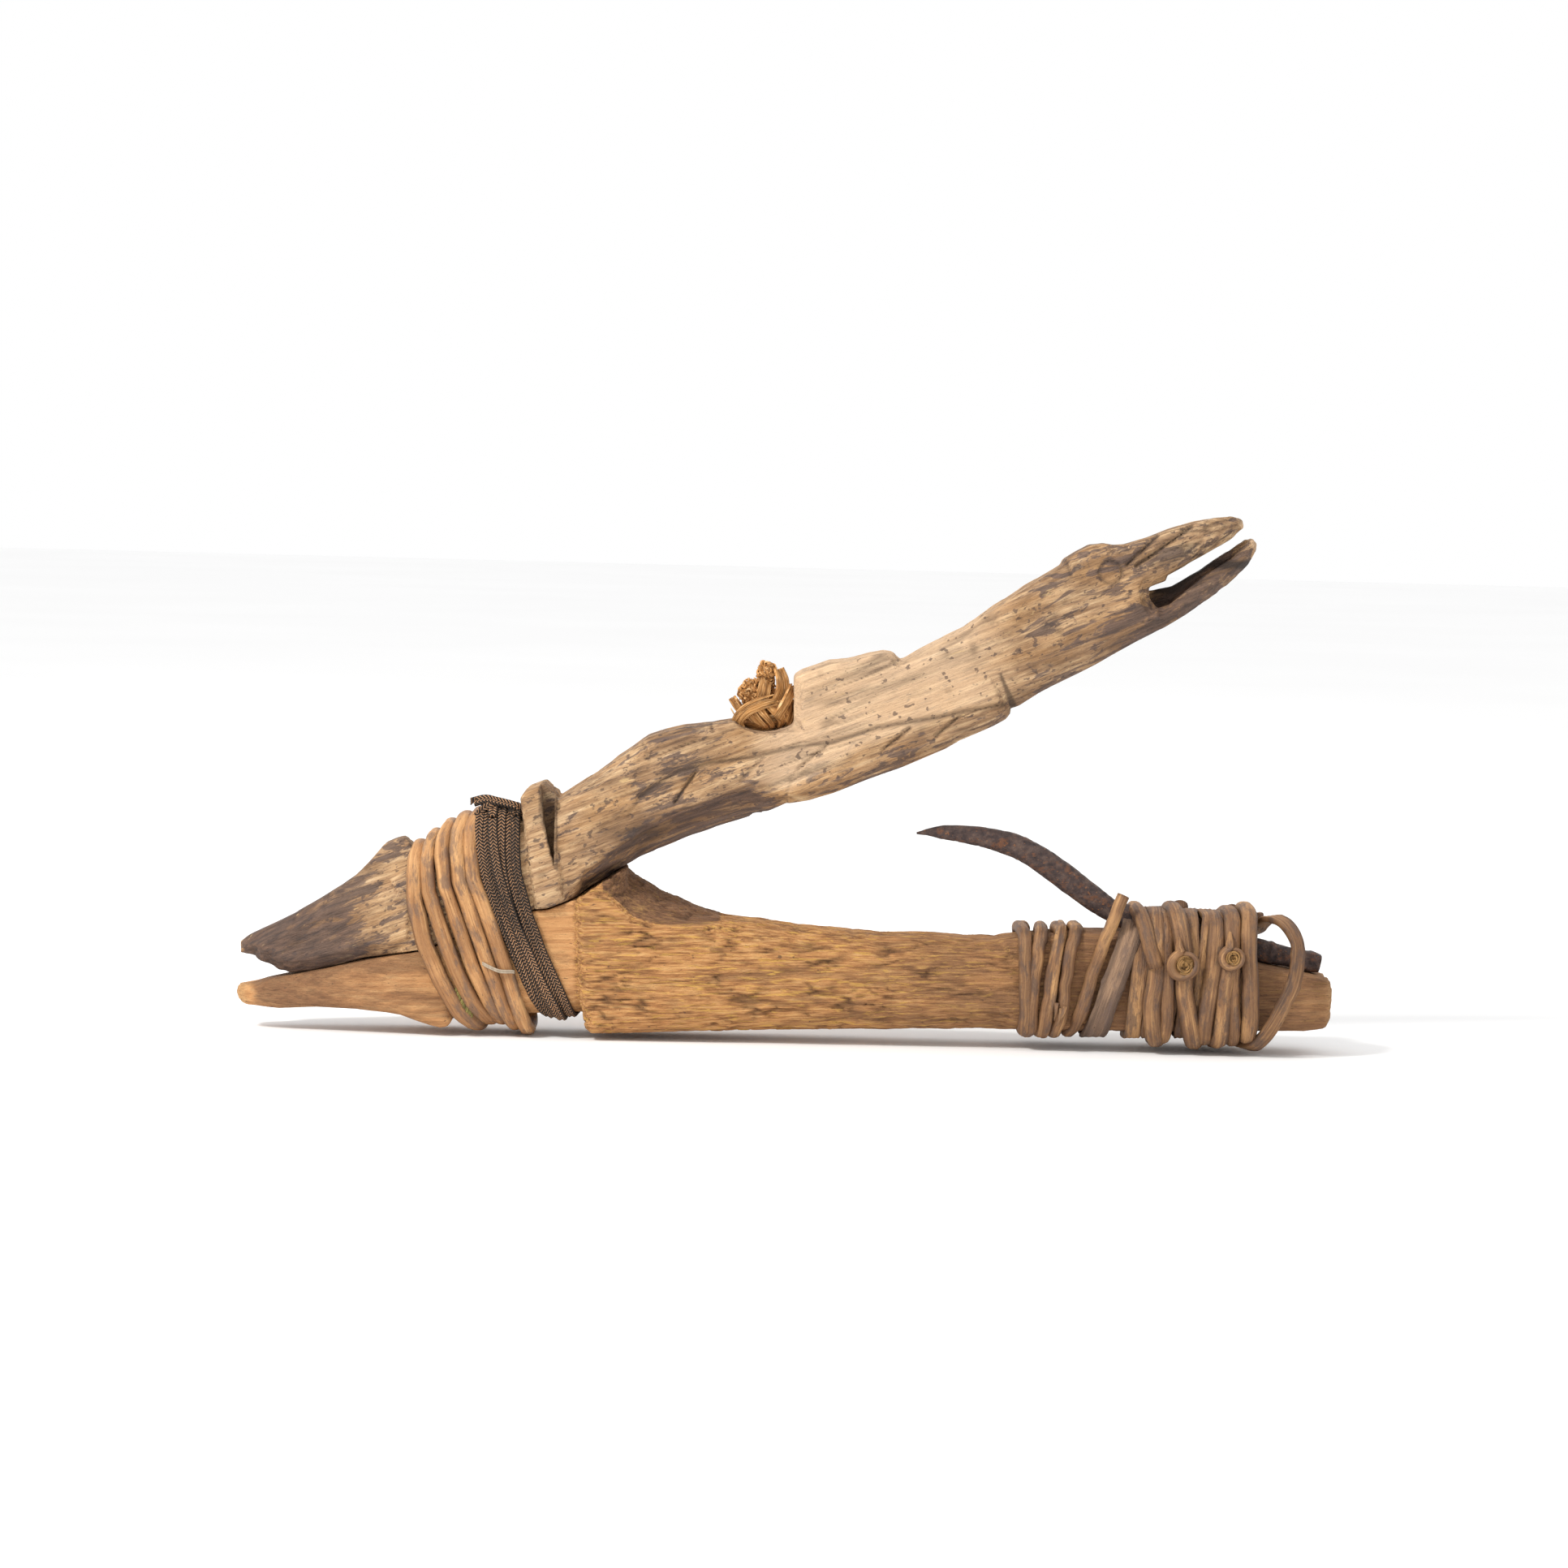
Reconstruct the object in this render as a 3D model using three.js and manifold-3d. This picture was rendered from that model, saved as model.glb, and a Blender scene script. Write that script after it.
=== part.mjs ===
// A V-shaped halibut hook: two wooden arms lashed together at the closed end, an iron
// barb lashed on the free end of the lower arm, and the knotted stub of a fibre leader
// that runs through the upper arm.
//
// Millimetres. The hook is drawn with the lower arm's underside along X, +Z up and the
// front at -Y. The whole drawing is then turned by LEVEL_ANGLE, so that the hook stands
// on its two lashings, with the origin under the middle of its box.

import * as THREE from 'three';
import Module from 'manifold-3d';
import { mergeVertices } from 'three/addons/utils/BufferGeometryUtils.js';

const wasm = await Module();
wasm.setup();

// Fit
const GAP = 0.3;
const LEVEL_ANGLE = THREE.MathUtils.degToRad(-1.46);
const ORIGIN_SHIFT = new THREE.Vector3(0.57, 1.65, -2.32);

// Depths along Y of the whittled lengths
const JOINT_DEPTH = 24;
const JOINT_CHAMFER = 7;
const BEAK_DEPTH = 25;
const BODY_DEPTH = 24;
const NECK_DEPTH = 22;
const BODY_CHAMFER = 4.5;
const JAW_DEPTH = 18;
const JAW_CHAMFER = 1;
const FLANGE_DEPTH = 27;
const FLANGE_CHAMFER = 1.5;
const LOWER_ARM_DEPTH = 28;
const LOWER_ARM_CHAMFER = 5;
const BARB_END_DEPTH = 22;
const BARB_END_CHAMFER = 2;

// Deeper and taller than any piece, for cutting solids
const CUT_DEPTH = 60;
const CUT_HEIGHT = 200;
const CUT_BOTTOM_Z = -20;

// The joint's grooved lengths: the roof line of the upper half, the floor of the lower
const ROOF = { x: -79, z: 58.4, slope: 0.61 };
const RIDGE = { x: -79, z: 58.4, slope: 0.12 };
const FLOOR = { x: -88, z: 8.6, slope: 0.033 };

// The lower arm's lines under the barb
const UNDERSIDE_Z = 5.5;
const SEAT_START_X = 90.1;
const SEAT_START_Z = 29.8;
const SEAT_SLOPE = -0.231;
const SHANK_THICKNESS = 6;
const SHANK_DEPTH = 6.4;

// Split roots and cords: width along the wood, thickness away from it
const JOINT_ROOT = { width: 3.4, thickness: 2.2 };
const FRONT_ROOT = { width: 3.4, thickness: 2 };
const FLAT_ROOT = { width: 5.6, thickness: 1.6 };
const INNER_ROOT = { width: 3.7, thickness: 2 };
const OUTER_ROOT = { width: 3.8, thickness: 2.4 };
const LOOP_ROOT = { width: 3.6, thickness: 1.5 };
const BRAID = { width: 2.15, thickness: 1.4 };
const BRAID_TAIL = { width: 2.4, thickness: 1 };
const PACKING_RADIUS = 0.5;
const THREAD_RADIUS = 0.3;

// How far each lashing's axis leans from the lower arm, in degrees
const JOINT_TILT = 14;
const BARB_TILT = -9.5;
const FLAT_ROOT_TILT = -16;

// How far the sides of the joint's turns bow towards the beak
const JOINT_BOW = 4.2;

// The two root ends doubled into eyes on the front: centre, ring and cut end
const EYES = [
  { x: 102.2, z: 22.6, radius: 3.1, thickness: 2.4, endRadius: 1.5 },
  { x: 114.7, z: 24.4, radius: 2.2, thickness: 1.7, endRadius: 1 },
];
const ROOT_END_LENGTH = 3;

// The leader hole and the stub in it
const HOLE_X = -5.6;
const HOLE_RADIUS = 3.4;
const SEAT_Z = 84.6;
const STEP_X = 2.8;
const STUB_RADIUS = 3;
const STUB_BOTTOM_Z = 65;

// Colour, roughness and metalness
const FINISHES = {
  carvedWood: [0xb0926a, 0.85, 0],
  lowerWood: [0xa9723f, 0.9, 0],
  iron: [0x4a3b38, 0.8, 0.6],
  splitRoot: [0xb98350, 0.7, 0],
  darkRoot: [0x83603c, 0.75, 0],
  braid: [0x4a3526, 0.8, 0],
  bark: [0xcb9350, 0.85, 0],
  thread: [0xd8cdb8, 0.5, 0],
  moss: [0x8a7f45, 0.95, 0],
};

const hook = new THREE.Group();

function addPiece(name, finish, geometry) {
  const [color, roughness, metalness] = FINISHES[finish];
  const material = new THREE.MeshStandardMaterial({ color, roughness, metalness });
  const mesh = new THREE.Mesh(geometry, material);
  mesh.name = name;
  hook.add(mesh);
  return mesh;
}

// ---------------------------------------------------------------- solids

function solidOf(geometry) {
  const bare = geometry.clone();
  bare.deleteAttribute('normal');
  bare.deleteAttribute('uv');
  const merged = mergeVertices(bare, 1e-4);
  return new wasm.Manifold(new wasm.Mesh({
    numProp: 3,
    vertProperties: new Float32Array(merged.attributes.position.array),
    triVerts: new Uint32Array(merged.index.array),
  }));
}

function geometryOf(solid) {
  const mesh = solid.getMesh();
  const geometry = new THREE.BufferGeometry();
  geometry.setAttribute('position', new THREE.BufferAttribute(mesh.vertProperties, 3));
  geometry.setIndex(new THREE.BufferAttribute(mesh.triVerts, 1));
  geometry.computeVertexNormals();
  return geometry;
}

// The height at x of a line given by one point and its slope.
function lineZ({ x: x0, z: z0, slope }, x) {
  return z0 + slope * (x - x0);
}

function joined(solids) {
  return solids.reduce((whole, solid) => whole.add(solid));
}

// An outline in the X-Z plane. Each stretch is straight or a smooth curve through points.
function outline(start, ...stretches) {
  const shape = new THREE.Shape();
  shape.moveTo(...start);
  for (const [kind, ...points] of stretches) {
    if (kind === 'curve') {
      shape.splineThru(points.map(([x, z]) => new THREE.Vector2(x, z)));
    } else {
      points.forEach(([x, z]) => shape.lineTo(x, z));
    }
  }
  return shape;
}

// A board cut to an outline, centred on Y = 0, with the edges of both faces chamfered.
function board(shape, depth, chamfer = 0) {
  const geometry = new THREE.ExtrudeGeometry(shape, {
    depth: depth - 2 * chamfer,
    curveSegments: 2,
    bevelEnabled: chamfer > 0,
    bevelThickness: chamfer,
    bevelSize: chamfer,
    bevelOffset: -chamfer,
    bevelSegments: 1,
  });
  geometry.rotateX(Math.PI / 2);
  geometry.translate(0, depth / 2 - chamfer, 0);
  return solidOf(geometry);
}

// Everything between mirrored plan lines, given as [x, half depth] pairs along the piece.
function planSlice(halfDepths) {
  const front = halfDepths.map(([x, half]) => [x, -half]);
  const back = halfDepths.map(([x, half]) => [x, half]).reverse();
  const shape = new THREE.Shape([...front, ...back].map(([x, y]) => new THREE.Vector2(x, y)));
  const geometry = new THREE.ExtrudeGeometry(shape, { depth: CUT_HEIGHT, bevelEnabled: false });
  geometry.translate(0, 0, CUT_BOTTOM_Z);
  return solidOf(geometry);
}

// ---------------------------------------------------------------- carved (upper) arm

function makeCarvedArm() {
  const beak = board(outline(
    [-138.9, 24.9],
    ['line', [-133.8, 23], [-128.5, 20.8]],
    ['curve', [-115.5, 22.2], [-104, 24.9], [-92, 26.8]],
    ['line', [-93.6, 51], [-96.9, 54.7], [-99.2, 54.1]],
    ['curve', [-105.8, 48.1], [-119.3, 38.2], [-132.3, 31.5], [-138.9, 27.8]],
  ), BEAK_DEPTH, JAW_CHAMFER);
  const beakPlan = planSlice([[-140, 5], [-120, 8.5], [-97, 12.5], [-90, 12.5]]);

  const grooved = board(outline(
    [-101, 12],
    ['line', [-101, lineZ(ROOF, -101)], [ROOF.x, ROOF.z], [-58, lineZ(RIDGE, -58)], [-58, 12]],
  ), JOINT_DEPTH, JOINT_CHAMFER);

  const flange = board(outline(
    [-62.2, 30],
    ['line', [-64.8, 65.6], [-61.2, 68.6], [-56.5, 65.3], [-57.5, 30]],
  ), FLANGE_DEPTH, FLANGE_CHAMFER);

  const lowerBody = board(outline(
    [-62, 30],
    ['line', [-62, 60], [-48.2, 72.9], [-31, 82.1], [-12.5, SEAT_Z], [9, SEAT_Z]],
    ['line', [9, 65.2], [-9, 59.8], [-30.4, 52.2], [-41.3, 47]],
  ), BODY_DEPTH, BODY_CHAMFER);

  const middleBody = board(outline(
    [STEP_X, 65],
    ['line', [STEP_X, 95.6]],
    ['curve', [16.4, 99.8], [29, 101.6]],
    ['line', [30.6, 99.8]],
    ['curve', [46.4, 108.1], [60, 117.3]],
    ['line', [59, 88.2], [57.7, 85.4]],
    ['curve', [44.3, 79.6], [28.7, 72.5], [STEP_X, 65]],
  ), BODY_DEPTH + 1, JAW_CHAMFER);

  const neck = board(outline(
    [48, 84],
    ['line', [48, 109.5]],
    ['curve', [62.2, 118.8], [71, 125]],
    ['line', [74.6, 127.3], [81, 129.3], [88, 129], [97, 120], [96, 108.2]],
    ['curve', [77.3, 98.1], [59.5, 88.8]],
  ), NECK_DEPTH, JAW_CHAMFER);

  const upperJaw = board(outline(
    [84, 115],
    ['line', [84, 128.4]],
    ['curve', [97.9, 132.9], [109.6, 135.8], [116.2, 135.6]],
    ['line', [116.9, 133.5]],
    ['curve', [106.2, 126.3], [94.5, 119.4]],
    ['line', [92.6, 117.6], [88, 115]],
  ), JAW_DEPTH, JAW_CHAMFER);

  const lowerJaw = board(outline(
    [86, 103],
    ['line', [86, 113], [94.5, 113]],
    ['curve', [98.7, 115.6], [106.2, 120.8], [118.4, 130.4]],
    ['line', [120.1, 129], [119.4, 126.5]],
    ['curve', [107.6, 115.3], [95.9, 108.1], [86, 103]],
  ), JAW_DEPTH, JAW_CHAMFER);

  const throat = board(outline(
    [93, 113.2],
    ['line', [99, 117], [99, 123], [92.8, 118.4]],
  ), CUT_DEPTH);

  const jawPlan = planSlice([[80, 9], [100, 8.5], [121, 4.5]]);
  const jaws = upperJaw.add(lowerJaw).intersect(jawPlan);
  const belowTheParting = board(outline(
    [-102, 0],
    ['line', [-102, 25.2], [-92.5, 26.8], [-63, 37.1], [-59.8, 37.4]],
    ['line', [-52.7, 39.9], [-41.3, 47], [-41, 0]],
  ), CUT_DEPTH);
  const hole = new THREE.CylinderGeometry(HOLE_RADIUS, HOLE_RADIUS, CUT_DEPTH, 16);
  hole.rotateX(Math.PI / 2);
  hole.translate(HOLE_X, 0, 75);

  return joined([grooved, flange, lowerBody, middleBody, neck, jaws])
    .subtract(belowTheParting)
    .add(beak.intersect(beakPlan))
    .subtract(throat)
    .subtract(solidOf(hole));
}

// ---------------------------------------------------------------- lower (barb) arm

const SEAT = { x: SEAT_START_X, z: SEAT_START_Z, slope: SEAT_SLOPE };
const seatHeight = (x) => lineZ(SEAT, x);

const SCOOP = { radius: 16, length: 24, lean: -0.35, centre: [-34, -19, 48] };

function makeLowerArm() {
  const beak = board(outline(
    [-139.4, 16.6],
    ['curve', [-131.5, 17.6], [-125.5, 19.2]],
    ['line', [-86.5, 34], [-86.5, 5.2]],
    ['curve', [-97.4, 9.9], [-109, 11.2], [-129, 11], [-137.4, 11.7]],
    ['line', [-139.8, 13]],
  ), BEAK_DEPTH, JAW_CHAMFER);
  const beakPlan = planSlice([[-141, 4.5], [-120, 8], [-97, 12.2], [-80, 12.2]]);

  const grooved = board(outline(
    [-96, 60],
    ['line', [-96, 12], [FLOOR.x, FLOOR.z], [-40, lineZ(FLOOR, -40)], [-40, 60]],
  ), JOINT_DEPTH, JOINT_CHAMFER);

  const body = board(outline(
    [-52.6, 55.1],
    ['line', [-50.2, UNDERSIDE_Z], [66, UNDERSIDE_Z], [66, 28.6], [44, 28.8], [16.4, 30.6]],
    ['line', [-7.4, 33.2], [-21.7, 35.9], [-31.2, 40]],
  ), LOWER_ARM_DEPTH, LOWER_ARM_CHAMFER);
  const bodyPlan = planSlice([[-60, 14], [-20, 14], [57, 11], [70, 11]]);

  const barbEnd = board(outline(
    [54, UNDERSIDE_Z],
    ['line', [54, 28.8], [66, 29.6], [76.6, 30.5], [87, 30.5], [SEAT_START_X, SEAT_START_Z]],
    ['line', [132.9, seatHeight(132.9)], [137.1, seatHeight(137.1)], [139.2, 18]],
    ['line', [139.2, 7.5], [137.2, UNDERSIDE_Z]],
  ), BARB_END_DEPTH, BARB_END_CHAMFER);

  // The hollow pared out of the front of the saddle.
  const scoopedFront = new THREE.CylinderGeometry(SCOOP.radius, SCOOP.radius, SCOOP.length, 24);
  scoopedFront.rotateZ(SCOOP.lean);
  scoopedFront.translate(...SCOOP.centre);

  const aboveTheParting = board(outline(
    [-128, 60],
    ['line', [-128, 19.9], [-126, 19.6], [-115.5, 21.8], [-104, 24.5], [-92.5, 26.4]],
    ['line', [-63, 36.7], [-59.8, 37], [-52.6, 39.5], [-41.1, 46.6], [-30.4, 51.8], [-30, 60]],
  ), CUT_DEPTH);

  return joined([beak.intersect(beakPlan), grooved, body.intersect(bodyPlan), barbEnd])
    .subtract(aboveTheParting)
    .subtract(solidOf(scoopedFront));
}

// ---------------------------------------------------------------- iron barb

// The shank's underside lies a gap above the seat; its height is measured straight up.
const SHANK_HEIGHT = SHANK_THICKNESS / Math.cos(Math.atan(SEAT_SLOPE));

function makeBarb() {
  const under = (x) => seatHeight(x) + GAP;
  const top = (x) => under(x) + SHANK_HEIGHT;
  const side = board(outline(
    [137.4, under(137.4)],
    ['line', [137.8, top(137.8)], [94, top(94)]],
    ['curve', [81, 40.8], [72, 47.5], [61, 54.5], [50, 57.4], [38, 57.6]],
    ['line', [33.7, 55.4]],
    ['curve', [44, 53.2], [54, 50.6], [64, 45.2], [70, 39.2], [79, 33.8]],
    ['line', [91, under(91) + 0.8], [93, under(93)]],
  ), SHANK_DEPTH);
  const half = SHANK_DEPTH / 2;
  return side.intersect(planSlice([[33, 0.3], [42, 1.9], [56, 3], [80, half], [140, half]]));
}

// ---------------------------------------------------------------- windings

// A route given by its points and, at each point, the direction away from the wood.
class Route extends THREE.Curve {
  constructor(stations) {
    super();
    this.points = stations.map((station) => station.point);
    this.outward = stations.map((station) => station.outward);
  }

  getPoint(t) {
    return this.points[Math.round(t * (this.points.length - 1))].clone();
  }

  getSpacedPoints() {
    return this.points.map((point) => point.clone());
  }

  computeFrenetFrames() {
    const last = this.points.length - 1;
    const tangents = this.points.map((_, i) => {
      const before = this.points[Math.max(i - 1, 0)];
      const after = this.points[Math.min(i + 1, last)];
      return after.clone().sub(before).normalize();
    });
    const binormals = tangents.map((tangent, i) => tangent.clone().cross(this.outward[i]).normalize());
    const normals = tangents.map((tangent, i) => binormals[i].clone().cross(tangent).normalize());
    return { tangents, normals, binormals };
  }
}

// A split root is flat towards the wood and rounded outside; a strip is a plain rectangle.
function rootSection({ width, thickness }) {
  const half = width / 2;
  const inside = -thickness / 2;
  return [
    [inside, -half],
    [0.1 * thickness, -half],
    [thickness / 2, -0.5 * half],
    [thickness / 2, 0.5 * half],
    [0.1 * thickness, half],
    [inside, half],
  ];
}

function stripSection({ width, thickness }) {
  const half = width / 2;
  return [
    [-thickness / 2, -half],
    [thickness / 2, -half],
    [thickness / 2, half],
    [-thickness / 2, half],
  ];
}

function roundSection(radius, sides) {
  return Array.from({ length: sides }, (_, i) => {
    const angle = (2 * Math.PI * i) / sides;
    return [radius * Math.cos(angle), radius * Math.sin(angle)];
  });
}

function sweep(section, stations) {
  const shape = new THREE.Shape(section.map(([x, y]) => new THREE.Vector2(x, y)));
  const route = new Route(stations);
  return new THREE.ExtrudeGeometry(shape, {
    steps: stations.length - 1,
    extrudePath: route,
    bevelEnabled: false,
  });
}

// A sweep along a smooth curve, with its flat side turned from `from`, a point inside.
function sweepAround(section, points, from, steps) {
  const curve = new THREE.CatmullRomCurve3(points.map((point) => new THREE.Vector3(...point)));
  const middle = new THREE.Vector3(...from);
  const stations = curve.getPoints(steps).map((point) => ({
    point,
    outward: point.clone().sub(middle).normalize(),
  }));
  return sweep(section, stations);
}

// The frame of a lashing: `origin` on its axis, which lies in the X-Z plane at `tilt` to X,
// and the directions out of the surfaces that it lies on above and below.
function lashingFrame([x, z], tiltDegrees, topSlope, bottomSlope) {
  const tilt = THREE.MathUtils.degToRad(tiltDegrees);
  const along = new THREE.Vector3(Math.cos(tilt), 0, Math.sin(tilt));
  const up = new THREE.Vector3(-Math.sin(tilt), 0, Math.cos(tilt));
  const above = new THREE.Vector3(-topSlope, 0, 1).normalize();
  const below = new THREE.Vector3(-bottomSlope, 0, 1).normalize();
  return { origin: new THREE.Vector3(x, 0, z), along, up, above, below };
}

// Height above the frame's axis, in the plane of a turn at s, where the turn meets a line.
function heightOfLine({ origin, along, up }, s, line) {
  const x = origin.x + along.x * s;
  const z = origin.z + along.z * s;
  return (lineZ(line, x) - z) / (up.z - line.slope * up.x);
}

// The two places where a belt leaves a corner of the convex section that it goes round.
function beltCorners(corners, standOff) {
  const count = corners.length;
  const normalAfter = corners.map(([y, v], i) => {
    const [nextY, nextV] = corners[(i + 1) % count];
    const length = Math.hypot(nextY - y, nextV - v);
    return [(nextV - v) / length, -(nextY - y) / length];
  });
  return corners.flatMap(([y, v], i) => {
    const normals = [normalAfter[(i + count - 1) % count], normalAfter[i]];
    return normals.map(([ny, nv]) => ({ y: y + ny * standOff, v: v + nv * standOff, ny, nv }));
  });
}

// Turns of a root round a convex section. corners(s) lists the section's corners as [y, v]
// from the top front edge down the front, under, up the back and over the top. `sideSteps`
// adds points on the long front and back sides, where a turn bows along the axis by `bow`.
function windStations(frame, { corners, standOff, from, pitch, turns, bow = 0, sideSteps = 2 }) {
  const spotsPerTurn = 2 * corners(from).length;
  const spotAt = (n) => {
    const s = from + pitch * ((n + 0.5) / spotsPerTurn - 0.25);
    const belt = beltCorners(corners(s), standOff);
    const reach = Math.max(...belt.map(({ v }) => Math.abs(v)));
    return { ...belt[n % spotsPerTurn], s, reach };
  };
  const stationAt = ({ s, y, v, ny, nv, reach }) => {
    const bowed = s - bow * (1 - (v / reach) ** 2);
    const point = frame.origin.clone().addScaledVector(frame.along, bowed).addScaledVector(frame.up, v);
    point.y = y;
    const outward = (nv > 0 ? frame.above : frame.below).clone().multiplyScalar(nv);
    outward.y = ny;
    return { point, outward };
  };
  const count = Math.round(spotsPerTurn * turns);
  const stations = [];
  for (let n = 0; n < count; n += 1) {
    const spot = spotAt(n);
    const next = spotAt(n + 1);
    stations.push(stationAt(spot));
    const onSide = Math.abs(spot.nv) < 0.1 && Math.abs(next.nv) < 0.1 && n + 1 < count;
    for (let k = 1; onSide && k <= sideSteps; k += 1) {
      const part = k / (sideSteps + 1);
      const s = THREE.MathUtils.lerp(spot.s, next.s, part);
      const v = THREE.MathUtils.lerp(spot.v, next.v, part);
      stations.push(stationAt({ ...spot, s, v }));
    }
  }
  return stations;
}

function octagon(halfDepth, bottom, top, chamfer) {
  return [
    [-halfDepth, top - chamfer],
    [-halfDepth, bottom + chamfer],
    [-halfDepth + chamfer, bottom],
    [halfDepth - chamfer, bottom],
    [halfDepth, bottom + chamfer],
    [halfDepth, top - chamfer],
    [halfDepth - chamfer, top],
    [-halfDepth + chamfer, top],
  ];
}

// ---------------------------------------------------------------- joint lashings

const jointFrame = lashingFrame([-85.2, 29.5], JOINT_TILT, 0.45, FLOOR.slope);
const braidFrame = lashingFrame([-64.6, 36.3], JOINT_TILT, RIDGE.slope, FLOOR.slope);

// Corners round both grooved halves, with the turns hanging slack below by `slack`.
function jointCorners(frame, s, slack) {
  const top = Math.min(heightOfLine(frame, s, ROOF), heightOfLine(frame, s, RIDGE));
  const bottom = heightOfLine(frame, s, FLOOR) - slack;
  return octagon(JOINT_DEPTH / 2, bottom, top, JOINT_CHAMFER - 2 * GAP);
}

function makeJointWinding() {
  const stations = windStations(jointFrame, {
    corners: (s) => jointCorners(jointFrame, s, 1.8 + 0.08 * s),
    standOff: GAP + JOINT_ROOT.thickness / 2,
    from: 0,
    pitch: 3.75,
    turns: 4.5,
    bow: JOINT_BOW,
  });
  return sweep(rootSection(JOINT_ROOT), stations);
}

function makeBraidWinding() {
  const stations = windStations(braidFrame, {
    corners: (s) => jointCorners(braidFrame, s, 0),
    standOff: GAP + BRAID.thickness / 2,
    from: -2.5,
    pitch: 2.5,
    turns: 3.5,
    bow: JOINT_BOW,
  });
  return sweep(stripSection(BRAID), stations);
}

function makeBraidTail() {
  const points = [[-68.8, 2, 65.4], [-71.5, 0, 66.4], [-75, -3, 66.6], [-78.3, -6, 65.8]];
  return sweepAround(stripSection(BRAID_TAIL), points, [-72, 0, 40], 8);
}

function makePackingCord() {
  const points = [[-82, -6, 7.9], [-80.8, -2, 7.9], [-81.4, 3, 7.9], [-80.6, 6, 7.9]];
  return sweepAround(roundSection(PACKING_RADIUS, 6), points, [-81, 0, 30], 8);
}

function makeFixingThread() {
  const front = -JOINT_DEPTH / 2 - 2 * GAP - JOINT_ROOT.thickness - THREAD_RADIUS - 0.05;
  const middle = front - 0.4;
  const points = [[-76.5, front, 23], [-74, middle, 22.5], [-71, middle, 21.9], [-69, front, 21.5]];
  return sweepAround(roundSection(THREAD_RADIUS, 6), points, [-72, 0, 22], 6);
}

// ---------------------------------------------------------------- barb lashings

const barbFrame = lashingFrame([91, 18], BARB_TILT, SEAT_SLOPE, 0);
const flatRootFrame = lashingFrame([83.9, 18], FLAT_ROOT_TILT, 0, 0);
const BARB_HALF_DEPTH = BARB_END_DEPTH / 2;

const UNDERSIDE = { x: 0, z: UNDERSIDE_Z, slope: 0 };
const WOOD_TOP = { x: 0, z: 30.6, slope: 0 };
const SHANK_TOP = { ...SEAT, z: SEAT.z + GAP + SHANK_HEIGHT };
const LAYERS_TOP = { x: SEAT.x, z: 34, slope: -0.03 };

// Corners round the wood alone.
function woodCorners(frame, s) {
  const bottom = heightOfLine(frame, s, UNDERSIDE);
  const top = heightOfLine(frame, s, WOOD_TOP);
  return octagon(BARB_HALF_DEPTH, bottom, top, BARB_END_CHAMFER);
}

// Corners round the wood with a narrower crown above it, as high as the highest line.
function crownedCorners(s, crownLines) {
  const bottom = heightOfLine(barbFrame, s, UNDERSIDE);
  const crown = Math.max(...crownLines.map((line) => heightOfLine(barbFrame, s, line)));
  const shoulder = heightOfLine(barbFrame, s, SEAT) - BARB_END_CHAMFER;
  const half = BARB_HALF_DEPTH;
  const crownHalf = SHANK_DEPTH / 2;
  return [
    [-half, shoulder],
    [-half, bottom + BARB_END_CHAMFER],
    [-half + BARB_END_CHAMFER, bottom],
    [half - BARB_END_CHAMFER, bottom],
    [half, bottom + BARB_END_CHAMFER],
    [half, shoulder],
    [crownHalf, crown],
    [-crownHalf, crown],
  ];
}

const overShank = (s) => crownedCorners(s, [SHANK_TOP]);
const overLayers = (s) => crownedCorners(s, [SHANK_TOP, LAYERS_TOP]);
const innerStandOff = GAP + INNER_ROOT.thickness / 2;
const outerStandOff = 2.5 * GAP + INNER_ROOT.thickness + OUTER_ROOT.thickness / 2;

// The front group: a free end leans down the front past the barb, then four more turns
// follow to the left. The first turn's own top corner and side give way to the free end.
function makeFrontRoot() {
  const standOff = GAP + FRONT_ROOT.thickness / 2;
  const turns = windStations(barbFrame, {
    corners: (s) => woodCorners(barbFrame, s),
    standOff,
    from: -15.6,
    pitch: -3.6,
    turns: 4.5,
    sideSteps: 1,
  });
  const front = -BARB_HALF_DEPTH - standOff;
  const outward = new THREE.Vector3(0, -1, 0);
  const freeEnd = [[86, 40], [83.4, 35.5], [80.2, 29], [76.6, 18]];
  const lead = freeEnd.map(([x, z]) => ({ point: new THREE.Vector3(x, front, z), outward }));
  return sweep(rootSection(FRONT_ROOT), [...lead, ...turns.slice(3)]);
}

// One wide split strip, cut off short at the top of the front and again behind.
function makeFlatRoot() {
  const turn = windStations(flatRootFrame, {
    corners: (s) => woodCorners(flatRootFrame, s),
    standOff: GAP + FLAT_ROOT.thickness / 2,
    from: 0,
    pitch: 0.5,
    turns: 1,
  });
  const stations = turn.slice(1, turn.length - 4);
  const start = stations[0];
  stations.unshift({
    point: start.point.clone().addScaledVector(flatRootFrame.up, 3),
    outward: start.outward,
  });
  return sweep(stripSection(FLAT_ROOT), stations);
}

function makeInnerWinding() {
  const stations = windStations(barbFrame, {
    corners: overShank,
    standOff: innerStandOff,
    from: 1.2,
    pitch: 4.1,
    turns: 6,
    sideSteps: 1,
  });
  return sweep(stripSection(INNER_ROOT), stations);
}

function makeOuterWinding(from) {
  const stations = windStations(barbFrame, {
    corners: overLayers,
    standOff: outerStandOff,
    from,
    pitch: 4.2,
    turns: 2.5,
    sideSteps: 1,
  });
  return sweep(rootSection(OUTER_ROOT), stations);
}

// The slack end of the last root, looped out round the tail of the barb.
function makeLooseLoop() {
  const points = [
    [124.8, 8, 30.5], [126.8, 3, 33.6], [129.9, -5, 33.2], [132.3, -12, 27], [131.4, -14.6, 18.5],
    [128.2, -15, 11], [124.6, -13, 4.8], [122.6, -7, 2.3], [122, 2, 2.6],
  ];
  return sweepAround(stripSection(LOOP_ROOT), points, [120, 0, 16], 26);
}

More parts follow.
